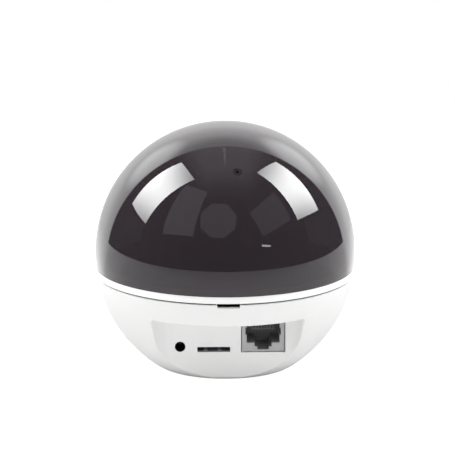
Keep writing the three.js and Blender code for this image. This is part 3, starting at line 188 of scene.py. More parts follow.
def trim(piece, place, normal):
    """Cuts a piece off flat at a plane and closes it. What lies on the normal's side goes."""
    open_all(piece)
    bpy.ops.mesh.bisect(plane_co=place, plane_no=normal, use_fill=True, clear_outer=True)
    done()
    return piece


def soften(piece, width, segments=2):
    """Rounds the sharp edges of a piece."""
    return modify(piece, "BEVEL", width=width, segments=segments, limit_method="ANGLE",
                  angle_limit=CREASE_ANGLE)


def copy_of(piece, name):
    """A copy with a mesh of its own."""
    twin = piece.copy()
    twin.data = piece.data.copy()
    twin.name = name
    twin.data.name = name
    bpy.context.collection.objects.link(twin)
    return twin


def stood(piece, rise, turn, distance, roll=0):
    """Moves a piece made upright so that it points straight out of the ball."""
    piece.matrix_world = (Matrix.Rotation(turn, 4, "Z") @ Matrix.Rotation(math.pi / 2 - rise, 4, "X")
                          @ Matrix.Rotation(roll, 4, "Z"))
    piece.location = dome_middle + distance * outward(rise, turn)
    return settle(piece)


# %% Helpers for common shapes
def around(middle, width):
    """The two ends of a span about its middle."""
    return (middle - width / 2, middle + width / 2)


def block(name, x, y, z):
    """A block between two values on each axis."""
    middle = ((x[0] + x[1]) / 2, (y[0] + y[1]) / 2, (z[0] + z[1]) / 2)
    size = (x[1] - x[0], y[1] - y[0], z[1] - z[0])
    bpy.ops.mesh.primitive_cube_add(size=1, location=middle, scale=size)
    return named(name)


def block_like(name, node):
    """A block with the box of a solid."""
    low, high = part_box(node)
    return block(name, (low.x, high.x), (low.y, high.y), (low.z, high.z))


def bar(name, radius, y, x, z, sides=64):
    """A round bar that lies front to back."""
    bpy.ops.mesh.primitive_cylinder_add(
        vertices=sides, radius=radius, depth=y[1] - y[0], location=(x, (y[0] + y[1]) / 2, z),
        rotation=(math.pi / 2, 0, 0))
    return named(name)


def post(name, radius, z, x=0.0, y=0.0, sides=48):
    """An upright round bar."""
    bpy.ops.mesh.primitive_cylinder_add(
        vertices=sides, radius=radius, depth=z[1] - z[0], location=(x, y, (z[0] + z[1]) / 2))
    return named(name)


def polar(radius, degrees):
    """A point of a circle in plan."""
    return (radius * math.cos(math.radians(degrees)), radius * math.sin(math.radians(degrees)))


# %% [markdown]
# A lathe piece is one outline swung round the upright axis. A circle primitive supplies the points, each
# point is moved to its place on the outline, and spin does the rest.


# %% Helpers for the lathe
SEAM_REACH = 0.000002


def arc(centre, radius, start, end, steps):
    """Points of a ball's outline from one height to another."""
    first = math.asin(max(-1, min(1, (start - centre) / radius)))
    last = math.asin(max(-1, min(1, (end - centre) / radius)))
    angles = [first + (last - first) * step / steps for step in range(steps + 1)]
    return [(max(radius * math.cos(angle), 0), centre + radius * math.sin(angle)) for angle in angles]


def section(inner, outer, low, high):
    """The outline of a plain ring between two radii and two heights."""
    return [(inner, low), (outer, low), (outer, high), (inner, high)]


def turned(name, outline, steps=192):
    """A closed outline of (radius, height) points swung round the upright axis."""
    bpy.ops.mesh.primitive_circle_add(vertices=len(outline), radius=1)
    piece = named(name)
    for vertex, (radius, height) in zip(piece.data.vertices, outline):
        vertex.co = (radius, 0, height)
    open_all(piece)
    bpy.ops.mesh.spin(steps=steps, angle=2 * math.pi, center=(0, 0, 0), axis=(0, 0, 1))
    bpy.ops.mesh.select_all(action="SELECT")
    bpy.ops.mesh.remove_doubles(threshold=SEAM_REACH)
    bpy.ops.mesh.delete_loose()
    bpy.ops.mesh.select_all(action="SELECT")
    bpy.ops.mesh.normals_make_consistent(inside=False)
    done()
    return piece


# %% [markdown]
# ### Finishes are node trees
#
# Every finish here starts from one Principled shader. A short helper adds a node, sets its values and
# links its inputs, so that each finish below reads like a recipe.


# %% Helpers for nodes
def add_node(tree, kind, links=None, **settings):
    """Adds a node, sets its properties or plain inputs, and links sockets into it."""
    node = tree.nodes.new(kind)
    for name, value in settings.items():
        setattr(node, name, value)
    for name, source in (links or {}).items():
        socket = node.inputs[name]
        if isinstance(source, bpy.types.NodeSocket):
            tree.links.new(source, socket)
        else:
            socket.default_value = source
    return node


def blank_tree(owner):
    """Turns nodes on for a material or a world and empties its tree."""
    owner.use_nodes = True
    owner.node_tree.nodes.clear()
    return owner.node_tree


def reckon(tree, operation, first, *others):
    """One kind of arithmetic on two or more values."""
    for other in others:
        first = add_node(tree, "ShaderNodeMath", {0: first, 1: other}, operation=operation).outputs[0]
    return first


def size_of(tree, value):
    """A value without its sign."""
    return add_node(tree, "ShaderNodeMath", {0: value}, operation="ABSOLUTE").outputs[0]


def dot(tree, first, second):
    """How far one arrow reaches along another."""
    return add_node(tree, "ShaderNodeVectorMath", {0: first, 1: second},
                    operation="DOT_PRODUCT").outputs["Value"]


def ramp(tree, value, span, low=0.0, high=1.0):
    """A value that goes softly from low to high as another crosses a span."""
    return add_node(tree, "ShaderNodeMapRange", {
        "Value": value, "From Min": span[0], "From Max": span[1], "To Min": low, "To Max": high,
    }, interpolation_type="SMOOTHSTEP").outputs[0]


# %% [markdown]
# ## The studio
#
# A small glossy dome shows its whole surroundings, so the studio is part of the picture. The camera is
# a long lens a little above the object, looking at its back. The floor is a pale disc. Its front edge
# shows in the dome as a sharp curve, as the edge of a shooting table does.

# %% The camera
CAMERA_DISTANCE = 0.802
CAMERA_RISE = math.radians(13.85)
CAMERA_TURN = math.radians(-1.5)
CAMERA_LENS = 174.4
NEAREST_SEEN = 0.01
AIM_UP = math.radians(0.585)
AIM_RIGHT = math.radians(0.06)

away = outward(CAMERA_RISE, CAMERA_TURN)
bpy.ops.object.camera_add(location=dome_middle + CAMERA_DISTANCE * away)
camera = bpy.context.object
camera.data.lens = CAMERA_LENS
camera.data.clip_start = NEAREST_SEEN
looking = (-away).to_track_quat("-Z", "Y").to_matrix().to_4x4()
aim = Matrix.Rotation(AIM_UP, 4, "X") @ Matrix.Rotation(-AIM_RIGHT, 4, "Y")
camera.matrix_world = Matrix.Translation(camera.location) @ looking @ aim
bpy.context.scene.camera = camera
bpy.context.scene.view_settings.view_transform = "Standard"
print("camera at", [round(value, 3) for value in camera.location])

# %% [markdown]
# ### The floor
#
# The floor takes the object's shadow. It gives off some light of its own to the camera, so that it
# looks as white as the wall behind, and some to mirrors. In a mirror, the part behind the object is the
# brighter one, most of all on both sides of its middle.

# %% The floor
WHITE = (1, 1, 1, 1)
FLOOR_COLOUR = (0.74, 0.74, 0.74, 1)
FLOOR_RADIUS = 0.55
FLOOR_BOOST = 0.86
NEAR_GLOW = 0.33
NEAR_GLOW_SPAN = (-0.35, -0.02)
FAR_GLOW = 1.1
FAR_GLOW_SPAN = (0, 0.03)
SIDE_SPAN = (0.4, 1.0)
LEFT_IN_MIDDLE = 0.33
OUTER_SPAN = (1.3, 2.0)
LEFT_OUTSIDE = 0.45
LEAST_BEHIND = 0.02

floor_paint = bpy.data.materials.new("studio_floor")
tree = blank_tree(floor_paint)
rays = add_node(tree, "ShaderNodeLightPath")
place = add_node(tree, "ShaderNodeTexCoord")
ahead = add_node(tree, "ShaderNodeSeparateXYZ", {0: place.outputs["Object"]})
seen = reckon(tree, "MULTIPLY", rays.outputs["Is Camera Ray"], FLOOR_BOOST)
behind = ahead.outputs["Y"]
slant = reckon(tree, "DIVIDE", size_of(tree, ahead.outputs["X"]),
               reckon(tree, "MAXIMUM", behind, LEAST_BEHIND))
near_part = reckon(tree, "MULTIPLY", ramp(tree, behind, NEAR_GLOW_SPAN, 0, NEAR_GLOW),
                   ramp(tree, behind, FAR_GLOW_SPAN, 1, 0))
far_part = reckon(tree, "MULTIPLY", ramp(tree, behind, FAR_GLOW_SPAN, 0, FAR_GLOW),
                  ramp(tree, slant, SIDE_SPAN, LEFT_IN_MIDDLE, 1),
                  ramp(tree, slant, OUTER_SPAN, 1, LEFT_OUTSIDE))
glowing = reckon(tree, "ADD", near_part, far_part)
mirrored = reckon(tree, "MULTIPLY", rays.outputs["Is Glossy Ray"], glowing)
lift = add_node(tree, "ShaderNodeEmission", {
    "Color": WHITE, "Strength": reckon(tree, "ADD", seen, mirrored)})
matt = add_node(tree, "ShaderNodeBsdfDiffuse", {"Color": FLOOR_COLOUR})
both = add_node(tree, "ShaderNodeAddShader", {0: matt.outputs[0], 1: lift.outputs[0]})
add_node(tree, "ShaderNodeOutputMaterial", {"Surface": both.outputs[0]})

bpy.ops.mesh.primitive_circle_add(vertices=128, radius=FLOOR_RADIUS, fill_type="NGON")
floor = named("studio_floor")
floor.data.materials.append(floor_paint)
print("floor radius", FLOOR_RADIUS)

# %% [markdown]
# ### The light around the object
#
# The world does three jobs. The camera sees plain white. Matt surfaces get an even studio light that is
# strongest from overhead, with some low light from the camera's side that reaches into the recess.
# Glossy surfaces mirror a curved bright backdrop with a crisp edge, which wraps round the far side of
# the object and draws the pale rim of the dome. It is brighter at its two upper corners, and dimmer
# towards its top and straight behind the object. A weak lamp hangs overhead, and the rest of the room
# is dark.
#
# Every value below that ends in SPAN says where a light starts to change and where it has changed: as a
# share of a direction's length to the side, back or up, or as an angle in degrees from an axis.

# %% The lights' sizes
LIGHT_OVERHEAD = 1.14
LIGHT_LEVEL = 0.135
LIGHT_FROM_CAMERA = 0.77
LOW_FRONT_SPAN = (-0.1, -0.8)
LOW_HEIGHT_SPAN = (0.45, 0.15)
BACKDROP_LIGHT = 2.15
BACKDROP_AXIS = outward(math.radians(8), math.radians(179.5))
BACKDROP_SPAN = (55.8, 54.2)
CORNER_AXIS = Vector((0.53, 0.65, 0.54)).normalized()
CORNER_SPAN = (19, 2)
CORNER_GAIN = 2.1
DIM_AXIS = outward(math.radians(-14), math.pi)
DIM_SPAN = (42, 8)
DIM_TOP_SPAN = (0.66, 0.86)
DIM_SHARE = 0.55
CEILING_LIGHT = 0.49
CEILING_SIDE_SPAN = (0.5, 0.2)
CEILING_FRONT_SPAN = (-0.45, -0.05)
CEILING_FRONT_SHARE = 0.2
CEILING_END_SPAN = (-0.49, -0.465)
CEILING_HEIGHT_SPAN = (0.2, 0.5)
DARK_ROOM = 0.015
print("light from overhead", LIGHT_OVERHEAD, "and from the side", LIGHT_LEVEL)


# %% The world for mirrors
def near(tree, direction, axis, span, low=0.0, high=1.0):
    """Grows from low to high as a direction comes near an axis, between two angles in degrees."""
    return ramp(tree, dot(tree, direction, axis), [math.cos(math.radians(angle)) for angle in span],
                low, high)


world = bpy.data.worlds.new("studio")
bpy.context.scene.world = world
tree = blank_tree(world)
rays = add_node(tree, "ShaderNodeLightPath")
direction = add_node(tree, "ShaderNodeTexCoord").outputs["Generated"]
parts = add_node(tree, "ShaderNodeSeparateXYZ", {0: direction})
beside, behind, above = size_of(tree, parts.outputs["X"]), parts.outputs["Y"], parts.outputs["Z"]
folded = add_node(tree, "ShaderNodeCombineXYZ", {"X": beside, "Y": behind, "Z": above}).outputs[0]

backdrop = reckon(
    tree, "MULTIPLY",
    near(tree, direction, BACKDROP_AXIS, BACKDROP_SPAN, 0, BACKDROP_LIGHT),
    near(tree, folded, CORNER_AXIS, CORNER_SPAN, 1, CORNER_GAIN),
    near(tree, direction, DIM_AXIS, DIM_SPAN, 1, DIM_SHARE),
    ramp(tree, above, DIM_TOP_SPAN, 1, DIM_SHARE),
)
ceiling = reckon(
    tree, "MULTIPLY",
    ramp(tree, beside, CEILING_SIDE_SPAN, 0, CEILING_LIGHT),
    ramp(tree, behind, CEILING_FRONT_SPAN, CEILING_FRONT_SHARE, 1),
    ramp(tree, behind, CEILING_END_SPAN),
    ramp(tree, above, CEILING_HEIGHT_SPAN),
)
room = reckon(tree, "MAXIMUM", backdrop, ceiling, DARK_ROOM)
mirrored = add_node(tree, "ShaderNodeBackground", {"Color": WHITE, "Strength": room})

# %% The world for matt surfaces and for the camera
rising = add_node(tree, "ShaderNodeMapRange", {
    "Value": above, "To Min": LIGHT_LEVEL, "To Max": LIGHT_OVERHEAD}).outputs[0]
low_front = reckon(tree, "MULTIPLY", ramp(tree, behind, LOW_FRONT_SPAN, 0, LIGHT_FROM_CAMERA),
                   ramp(tree, above, LOW_HEIGHT_SPAN))
even = add_node(tree, "ShaderNodeBackground", {
    "Color": WHITE, "Strength": reckon(tree, "ADD", rising, low_front)})
white = add_node(tree, "ShaderNodeBackground", {"Color": WHITE, "Strength": 1.0})
glossy_or_even = add_node(tree, "ShaderNodeMixShader", {
    0: rays.outputs["Is Glossy Ray"], 1: even.outputs[0], 2: mirrored.outputs[0]})
seen_or_not = add_node(tree, "ShaderNodeMixShader", {
    0: rays.outputs["Is Camera Ray"], 1: glossy_or_even.outputs[0], 2: white.outputs[0]})
add_node(tree, "ShaderNodeOutputWorld", {"Surface": seen_or_not.outputs[0]})
print("nodes in the world:", len(tree.nodes))

# %% [markdown]
# ### Two softboxes
#
# A softbox stands on each side, about 43 degrees up, and leans over the object. The dome mirrors them
# as two slanted panels. A mirror image in dark plastic is only a few hundredths as bright as what it
# mirrors, so each softbox is made twice: a glowing card that only mirrors see, and a gentler lamp that
# only lights. The tube inside runs across the box, so the card fades towards its two ends.

# %% The softboxes
CARD_GLOW = 20.1
CARD_GLOW_AT_ENDS = 5.6
CARD_GLOW_REACH = 0.36
SOFTBOX_LENGTH = 0.54
SOFTBOX_WIDTH = 0.33
SOFTBOX_POWER = 15.8
SOFTBOX_CORNERS = {
    "left": ((-0.658, 0.231, 0.329), (-0.329, 0.202, 0.682),
             (-0.728, -0.106, 0.319), (-0.300, -0.112, 0.772)),
    "right": ((0.373, 0.238, 0.637), (0.694, 0.144, 0.306),
              (0.287, -0.028, 0.770), (0.677, -0.208, 0.378)),
}


def glow(name, strong, weak=None, middle=None, axis=None, reach=None):
    """A glowing material, even all over or fading along an axis on both sides of its middle."""
    paint = bpy.data.materials.new(name)
    tree = blank_tree(paint)
    strength = strong
    if weak is not None:
        place = add_node(tree, "ShaderNodeTexCoord")
        arm = add_node(tree, "ShaderNodeVectorMath", {0: place.outputs["Object"], 1: middle},
                       operation="SUBTRACT").outputs["Vector"]
        strength = ramp(tree, size_of(tree, dot(tree, arm, axis)), (0, reach), strong, weak)
    light = add_node(tree, "ShaderNodeEmission", {"Color": WHITE, "Strength": strength})
    add_node(tree, "ShaderNodeOutputMaterial", {"Surface": light.outputs[0]})
    return paint


def only_in_mirrors(card, paint):
    """Makes a card glow and hides it from everything but glossy surfaces."""
    card.data.materials.append(paint)
    card.visible_camera = False
    card.visible_diffuse = False
    card.visible_shadow = False


def card_at(name, corners, paint):
    """A flat glowing card between four corners, which nothing but glossy surfaces sees."""
    bpy.ops.mesh.primitive_plane_add()
    card = named(name)
    for vertex, corner in zip(card.data.vertices, corners):
        vertex.co = corner
    only_in_mirrors(card, paint)


def turn_to_dome(thing, place):
    """Makes a lamp or a card at a place face the dome."""
    thing.location = place
    thing.rotation_euler = (place - dome_middle).to_track_quat("Z", "Y").to_euler()


for word, corners in SOFTBOX_CORNERS.items():
    corners = [Vector(corner) for corner in corners]
    middle = sum(corners, Vector()) / 4
    long_way = (corners[1] + corners[3] - corners[0] - corners[2]).normalized()
    paint = glow(f"softbox_{word}_glow", CARD_GLOW, CARD_GLOW_AT_ENDS, middle, long_way, CARD_GLOW_REACH)
    card_at(f"softbox_{word}_card", corners, paint)

    bpy.ops.object.light_add(type="AREA")
    lamp = bpy.context.object
    lamp.name = f"softbox_{word}_lamp"
    lamp.data.shape = "RECTANGLE"
    lamp.data.size = SOFTBOX_WIDTH
    lamp.data.size_y = SOFTBOX_LENGTH
    lamp.data.energy = SOFTBOX_POWER * SOFTBOX_LENGTH * SOFTBOX_WIDTH
    turn_to_dome(lamp, middle)
    lamp.visible_glossy = False
    lamp.visible_transmission = False
print("softboxes:", len(SOFTBOX_CORNERS))

# %% [markdown]
# ### Weaker lamps further off
#
# A metre away stand three boxes that are turned down low: one behind each of the bright ones, and one
# with eight sides above the camera, whose bulb is a brighter spot. Their mirror images lie on the dome
# as pale, even patches. A slim strip hangs overhead, and the dome mirrors it as one fine upright line.

# %% The weaker lamps
LOW_BOXES = {
    "left": (0.65, ((-0.522, -0.170, 0.965), (-0.264, -0.436, 0.993),
                    (-0.908, -0.504, 0.410), (-0.526, -0.868, 0.472))),
    "right": (0.42, ((0.338, -0.693, 0.763), (0.628, -0.223, 0.867),
                     (0.550, -0.825, 0.446), (0.849, -0.363, 0.534))),
}
ROUND_CARDS = (
    ("eight_sided_box", 8, 0.283, (-0.12, -0.77, 0.667), 0.51),
    ("eight_sided_bulb", 24, 0.02, (-0.215, -0.765, 0.665), 1.6),
)
STRIP_HALF_WIDTH = 0.008
STRIP_REACH = (0.03, 0.30)
STRIP_HEIGHT = 0.75
STRIP_GLOW = 1.15

for word, (strength, corners) in LOW_BOXES.items():
    card_at(f"low_box_{word}", corners, glow(f"low_box_{word}_glow", strength))

for name, sides, radius, place, strength in ROUND_CARDS:
    bpy.ops.mesh.primitive_circle_add(vertices=sides, radius=radius, fill_type="NGON")
    card = bpy.context.object
    card.rotation_euler.z = math.pi / sides
    card = named(name)
    turn_to_dome(card, Vector(place))
    only_in_mirrors(settle(card), glow(f"{name}_glow", strength))

strip_corners = [(side * STRIP_HALF_WIDTH, far, STRIP_HEIGHT) for far in STRIP_REACH for side in (-1, 1)]
card_at("strip_card", strip_corners, glow("strip_glow", STRIP_GLOW))
print("weaker lamps:", len(LOW_BOXES) + len(ROUND_CARDS) + 1)

# %% [markdown]
# ## The finishes
#
# Moulded plastic is never perfectly even. A fine grain breaks up its highlights, and its tone and gloss
# drift a little over a few centimetres. One recipe gives every plastic both, at its own scale.

# %% The recipe for a moulded surface
DRIFT_SCALE = 60.0
GLOSS_DRIFT = 0.15
finishes = {}


def surface(name, colour, roughness, grain=0.0004, depth=0.00001, drift=0.04, stretch=(1, 1, 1), shine=None,
            **extra):
    """A Principled finish with a fine grain in its relief and a slow drift in tone and gloss.

    With a shine, the surface mirrors that share of light from every side, instead of more at its edges.
    """
    finishes[name] = paint = bpy.data.materials.new(name)
    tree = blank_tree(paint)
    place = add_node(tree, "ShaderNodeTexCoord")
    broad = add_node(tree, "ShaderNodeTexNoise", {
        "Vector": place.outputs["Object"], "Scale": DRIFT_SCALE, "Detail": 2.0})
    low = tuple(value * (1 - drift) for value in colour) + (1,)
    high = tuple(min(value * (1 + drift), 1) for value in colour) + (1,)
    tone = add_node(tree, "ShaderNodeMix", {0: broad.outputs["Fac"], 6: low, 7: high}, data_type="RGBA")
    gloss = add_node(tree, "ShaderNodeMapRange", {
        "Value": broad.outputs["Fac"], "To Min": roughness * (1 - GLOSS_DRIFT),
        "To Max": roughness * (1 + GLOSS_DRIFT)})
    shader = add_node(tree, "ShaderNodeBsdfPrincipled", {
        "Base Color": tone.outputs[2], "Roughness": gloss.outputs[0]})
    if depth > 0:
        along = add_node(tree, "ShaderNodeMapping", {"Vector": place.outputs["Object"], "Scale": stretch})
        fine = add_node(tree, "ShaderNodeTexNoise", {
            "Vector": along.outputs[0], "Scale": 1 / grain, "Detail": 3.0, "Roughness": 0.6})
        relief = add_node(tree, "ShaderNodeBump", {
            "Height": fine.outputs["Fac"], "Strength": 1.0, "Distance": depth})
        tree.links.new(relief.outputs[0], shader.inputs["Normal"])
    for socket, value in extra.items():
        shader.inputs[socket.replace("_", " ")].default_value = value
    face = shader
    if shine is not None:
        shader.inputs["Specular IOR Level"].default_value = 0
        mirror = add_node(tree, "ShaderNodeBsdfGlossy", {"Color": WHITE, "Roughness": roughness})
        face = add_node(tree, "ShaderNodeMixShader", {0: shine, 1: shader.outputs[0], 2: mirror.outputs[0]})
    add_node(tree, "ShaderNodeOutputMaterial", {"Surface": face.outputs[0]})


# %% [markdown]
# ### Plastics and silicone
#
# A depth of nought leaves the grain out, for a polished surface. The black ones keep a trace of colour,
# because no plastic is quite black.

# %% Plastics and silicone
surface("white_plastic", (0.9, 0.9, 0.895), 0.34, depth=0.000003, drift=0.012, shine=0.02)
surface("gloss_white", (0.97, 0.97, 0.965), 0.15, depth=0, drift=0.01, Specular_IOR_Level=0.9)
surface("jack_grey", (0.17, 0.165, 0.17), 0.55)
surface("grey_plastic", (0.5, 0.5, 0.495), 0.45, depth=0.000008)
surface("pale_silicone", (0.78, 0.78, 0.76), 0.7, grain=0.0003, depth=0.00002)
surface("black_plastic", (0.012, 0.011, 0.012), 0.42, drift=0.15)
surface("black_rubber", (0.016, 0.015, 0.016), 0.85, drift=0.1, Specular_IOR_Level=0.1)
surface("gloss_black", (0.006, 0.0055, 0.006), 0.02, depth=0, drift=0.15)
surface("chip_black", (0.015, 0.015, 0.016), 0.55, grain=0.0002, drift=0.1)
surface("gear_plastic", (0.8, 0.76, 0.66), 0.42, drift=0.03)
surface("cable_grey", (0.07, 0.07, 0.075), 0.55, drift=0.1)
surface("circuit_board", (0.02, 0.12, 0.05), 0.35, grain=0.0012, drift=0.2)
print("plastics:", len(finishes))

# %% [markdown]
# ### Metals
#
# Brushed metal has its grain along one axis, so the pattern is stretched there. The tin of the jack's
# can and the dull wire of its springs reflect little, so they are only partly metallic.

# %% Metals
surface("tin", (0.42, 0.42, 0.42), 0.45, Metallic=0.3)
surface("dull_wire", (0.26, 0.255, 0.26), 0.5, Metallic=0.5)
surface("aluminium", (0.72, 0.73, 0.74), 0.35, stretch=(0.05, 1, 1), Metallic=1.0)
surface("bare_metal", (0.62, 0.63, 0.64), 0.32, stretch=(1, 0.05, 1), Metallic=1.0)
surface("steel", (0.45, 0.46, 0.47), 0.3, Metallic=1.0)
print("finishes so far:", len(finishes))

# %% [markdown]
# ### Clear parts
#
# The dome is so dark that it holds back nearly all light. Its inner face holds back less and mirrors
# nothing, which the part on the dome explains. The status light's window glows by itself: its glow is
# a painted highlight that draws a bright glint.

# %% Clear parts
SMOKE = (0.0297, 0.0234, 0.0284)
surface("lens_glass", (0.01, 0.012, 0.03), 0.02, depth=0, Alpha=0.6)
surface("emitter_clear", (0.05, 0.03, 0.05), 0.1, depth=0)
# The window's glow is a painted highlight: it stands in for a bright glint.
surface("light_window", (0.93, 0.93, 0.92), 0.3, depth=0, drift=0.01, Emission_Color=WHITE,
        Emission_Strength=5.5)
surface("smoke_dome", SMOKE, 0.02, depth=0, drift=0.05, Alpha=0.94)
surface("smoke_dome_inside", SMOKE, 0.3, depth=0, drift=0.05, Alpha=0.12, Specular_IOR_Level=0)
print("finishes:", len(finishes))


# %% A helper to finish a piece
def place_piece(piece, body, slot, *nodes, finish=None):
    """Gives a finished piece the finish named by its slot or given apart, puts it on its body, and hides the
    solids it stands for.
    """
    only(piece)
    bpy.ops.object.shade_smooth_by_angle(angle=CREASE_ANGLE)
    piece.data.materials.clear()
    piece.data.materials.append(finishes[finish or slot])
    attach(piece, body)
    if nodes:
        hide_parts(*nodes)
    print(f"{piece.name}: {len(piece.data.polygons)} faces, on {body}")


# %% [markdown]
# ## The casing
#
# The casing is a thin white shell. It is a slice of a ball with a recess scooped out of its back, and
# the recess has its own back wall, side walls and ceiling. The outside is made first as one solid and
# rebuilt from small cubes, which rounds every edge a little, as a mould does. Then the inside is taken
# out, and the openings are cut last so that they stay crisp.

# %% Sizes of the casing
CASING_WALL = 0.002
RECESS_BACK = 0.0266
RECESS_CEILING = 0.0247
RECESS_HALF_WIDTH = 0.0232
RECESS_FLARE = 0.405
RECESS_FILLET = 0.005
RECESS_WALL = 0.002
LEDGE_TOP = 0.0041
FLOOR_OPENING_RADIUS = 0.0205
COVER_SEAT_RADIUS = 0.0236
COVER_SEAT_TOP = 0.0025
MOULD_CUBE = 0.00045
ROUND_REACH = 0.00012
OUTSIDE_SIDES = 192
INSIDE_SIDES = 96


def ball_slice(name, radius, bottom, top, sides):
    """A ball about the casing's middle, cut off flat at two heights."""
    bpy.ops.mesh.primitive_uv_sphere_add(
        segments=sides, ring_count=sides // 2, radius=radius, location=(0, 0, CASING_CENTRE))
    piece = named(name)
    trim(piece, (0, 0, bottom), (0, 0, -1))
    return trim(piece, (0, 0, top), (0, 0, 1))


def recess_space(name, growth, bottom):
    """The space of the recess, or that space grown by the wall behind it."""
    slant = math.hypot(1, RECESS_FLARE)
    back = RECESS_BACK - growth
    half = RECESS_HALF_WIDTH + growth * (slant - RECESS_FLARE)
    reach = BALL_RADIUS + CUT_MARGIN - back
    top = RECESS_CEILING + growth
    piece = block(name, (-half, half), (-back - reach, -back), (bottom, top))
    pick(piece, "points", lambda place: place.y < -back - reach / 2)
    bpy.ops.transform.resize(value=(1 + reach * RECESS_FLARE / half, 1, 1), center_override=(0, 0, 0))
    done()

    def inner_corner(start, end):
        upright = abs(start.z - end.z) > (top - bottom) / 2
        return upright and max(start.y, end.y) > -back - reach / 2

    pick(piece, "edges", inner_corner)
    bpy.ops.mesh.bevel(offset=RECESS_FILLET + growth, segments=12, affect="EDGES")
    done()
    return piece


# %% Shape the outside
casing = ball_slice("base_casing", BALL_RADIUS, CASING_BOTTOM, CASING_TOP, OUTSIDE_SIDES)
combine(casing, recess_space("recess_space", 0, CASING_BOTTOM - CUT_MARGIN))
modify(casing, "REMESH", mode="VOXEL", voxel_size=MOULD_CUBE)
modify(casing, "SMOOTH", factor=0.5, iterations=4)

casing_middle = Vector((0, 0, CASING_CENTRE))
for vertex in casing.data.vertices:
    arm = vertex.co - casing_middle
    if arm.length > BALL_RADIUS - ROUND_REACH:
        vertex.co = casing_middle + arm * (BALL_RADIUS / arm.length)
print("outside of the casing:", len(casing.data.polygons), "faces")

# %% Take out the inside
hollow = ball_slice("hollow", BALL_RADIUS - CASING_WALL, LEDGE_TOP, CASING_TOP + CUT_MARGIN, INSIDE_SIDES)
combine(hollow, recess_space("recess_wall", RECESS_WALL, 0))
combine(casing, hollow)
combine(casing, post("floor_opening", FLOOR_OPENING_RADIUS, (-CUT_MARGIN, LEDGE_TOP + CUT_MARGIN), sides=96))
combine(casing, post("cover_seat", COVER_SEAT_RADIUS, (-CUT_MARGIN, COVER_SEAT_TOP), sides=96))
print("casing with its walls:", len(casing.data.polygons), "faces")

# %% [markdown]
# Inside, round bosses carry the deck, the board and the bottom cover. Each is a post with a bore for
# its screw. They are joined to the shell first, and every hole is cut in one go afterwards.

# %% Add the bosses
BOSS_RADIUS = 0.003
BOSS_BORE = 0.0013
BOSS_SINK = 0.0002
COVER_BOSS_HEIGHT = 0.0016
COVER_BORE_HEIGHT = 0.003
DECK_SCREW_ANGLES = (90, 205, 335)
BOARD_SCREW_ANGLES = (35, 145)
COVER_SCREW_ANGLES = (90, 210, 330)
DECK_SCREW_LENGTH = 0.006
BOARD_SCREW_LENGTH = 0.0034
COVER_SCREW_LENGTH = 0.0036
board_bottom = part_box("main_board")[0].z
deck_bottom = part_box("chassis_deck")[0].z
boss_plan = (
    ("deck_screw_1", DECK_SCREW_ANGLES, (LEDGE_TOP - BOSS_SINK, deck_bottom - FITTING_GAP),
     (deck_bottom - DECK_SCREW_LENGTH - FITTING_GAP, deck_bottom)),
    ("board_screw_1", BOARD_SCREW_ANGLES, (COVER_SEAT_TOP, board_bottom - FITTING_GAP), (0, board_bottom)),
    ("cover_screw_1", COVER_SCREW_ANGLES, (COVER_SEAT_TOP, LEDGE_TOP + COVER_BOSS_HEIGHT),
     (0, LEDGE_TOP + COVER_BORE_HEIGHT)),
)


def ring_of(node):
    """How far from the upright axis a solid stands."""
    return math.hypot(*centre_of(node).xy)


casing_ball = ball_slice("casing_ball", BALL_RADIUS - CASING_WALL / 2, CUT_MARGIN, CASING_TOP, INSIDE_SIDES)
bores = []
for screw, angles, body_span, bore_span in boss_plan:
    for angle in angles:
        place = polar(ring_of(screw), angle)
        boss = post("boss", BOSS_RADIUS, body_span, *place, sides=32)
        modify(boss, "BOOLEAN", object=casing_ball, operation="INTERSECT", solver="EXACT")
        combine(casing, boss, operation="UNION")
        bores.append(post("bore", BOSS_BORE, bore_span, *place, sides=32))
bpy.data.objects.remove(casing_ball)
print("bosses:", len(bores))

# %% [markdown]
# The back wall has a round hole for power, a slot for a memory card and a square opening for the
# network jack. Small round holes let the speaker be heard. A notch in the top edge lets a fingernail or
# a flat tool lift the band above.

# %% Sizes of the openings
POWER_X = -0.0167
POWER_HOLE_RADIUS = 0.0019
POWER_CENTRE = 0.0123
CARD_X = -0.00475
CARD_SLOT_WIDTH = 0.0117
CARD_SLOT_HEIGHT = 0.0019
CARD_CENTRE = 0.0112
JACK_GAP = 0.00022
NOTCH_TOP_WIDTH = 0.0086
NOTCH_BOTTOM_WIDTH = 0.0076
NOTCH_HEIGHT = 0.0013
SPEAKER_ANGLE = 145
SPEAKER_CENTRE = 0.0173
GRILLE_HOLE_RADIUS = 0.0008
GRILLE_HOLE_LENGTH = BALL_RADIUS / 3
GRILLE_PITCH = 0.0026
GRILLE_HOLES = 6
jack_low, jack_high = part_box("network_jack_shield")
through_wall = (-RECESS_BACK - CUT_MARGIN, -RECESS_BACK + RECESS_WALL + CUT_MARGIN)
print("jack opening:", round((jack_high.x - jack_low.x + 2 * JACK_GAP) * 1000, 1), "mm wide")

# %% Cut the openings
openings = [
    bar("power_hole", POWER_HOLE_RADIUS, through_wall, POWER_X, POWER_CENTRE),
    block("card_slot", around(CARD_X, CARD_SLOT_WIDTH), through_wall, around(CARD_CENTRE, CARD_SLOT_HEIGHT)),
    block("jack_opening", (jack_low.x - JACK_GAP, jack_high.x + JACK_GAP), through_wall,
          (jack_low.z - JACK_GAP, jack_high.z + JACK_GAP)),
]
for index in range(GRILLE_HOLES + 1):
    side, rise = (0, 0) if index == 0 else polar(GRILLE_PITCH, index * 360 / GRILLE_HOLES)
    bpy.ops.mesh.primitive_cylinder_add(
        vertices=24, radius=GRILLE_HOLE_RADIUS, depth=GRILLE_HOLE_LENGTH, rotation=(0, math.pi / 2, 0),
        location=(BALL_RADIUS, side, SPEAKER_CENTRE + rise))
    hole = named("grille_hole")
    hole.rotation_euler.z = math.radians(SPEAKER_ANGLE)
    openings.append(settle(hole))
combine(casing, together("openings", *openings, *bores))

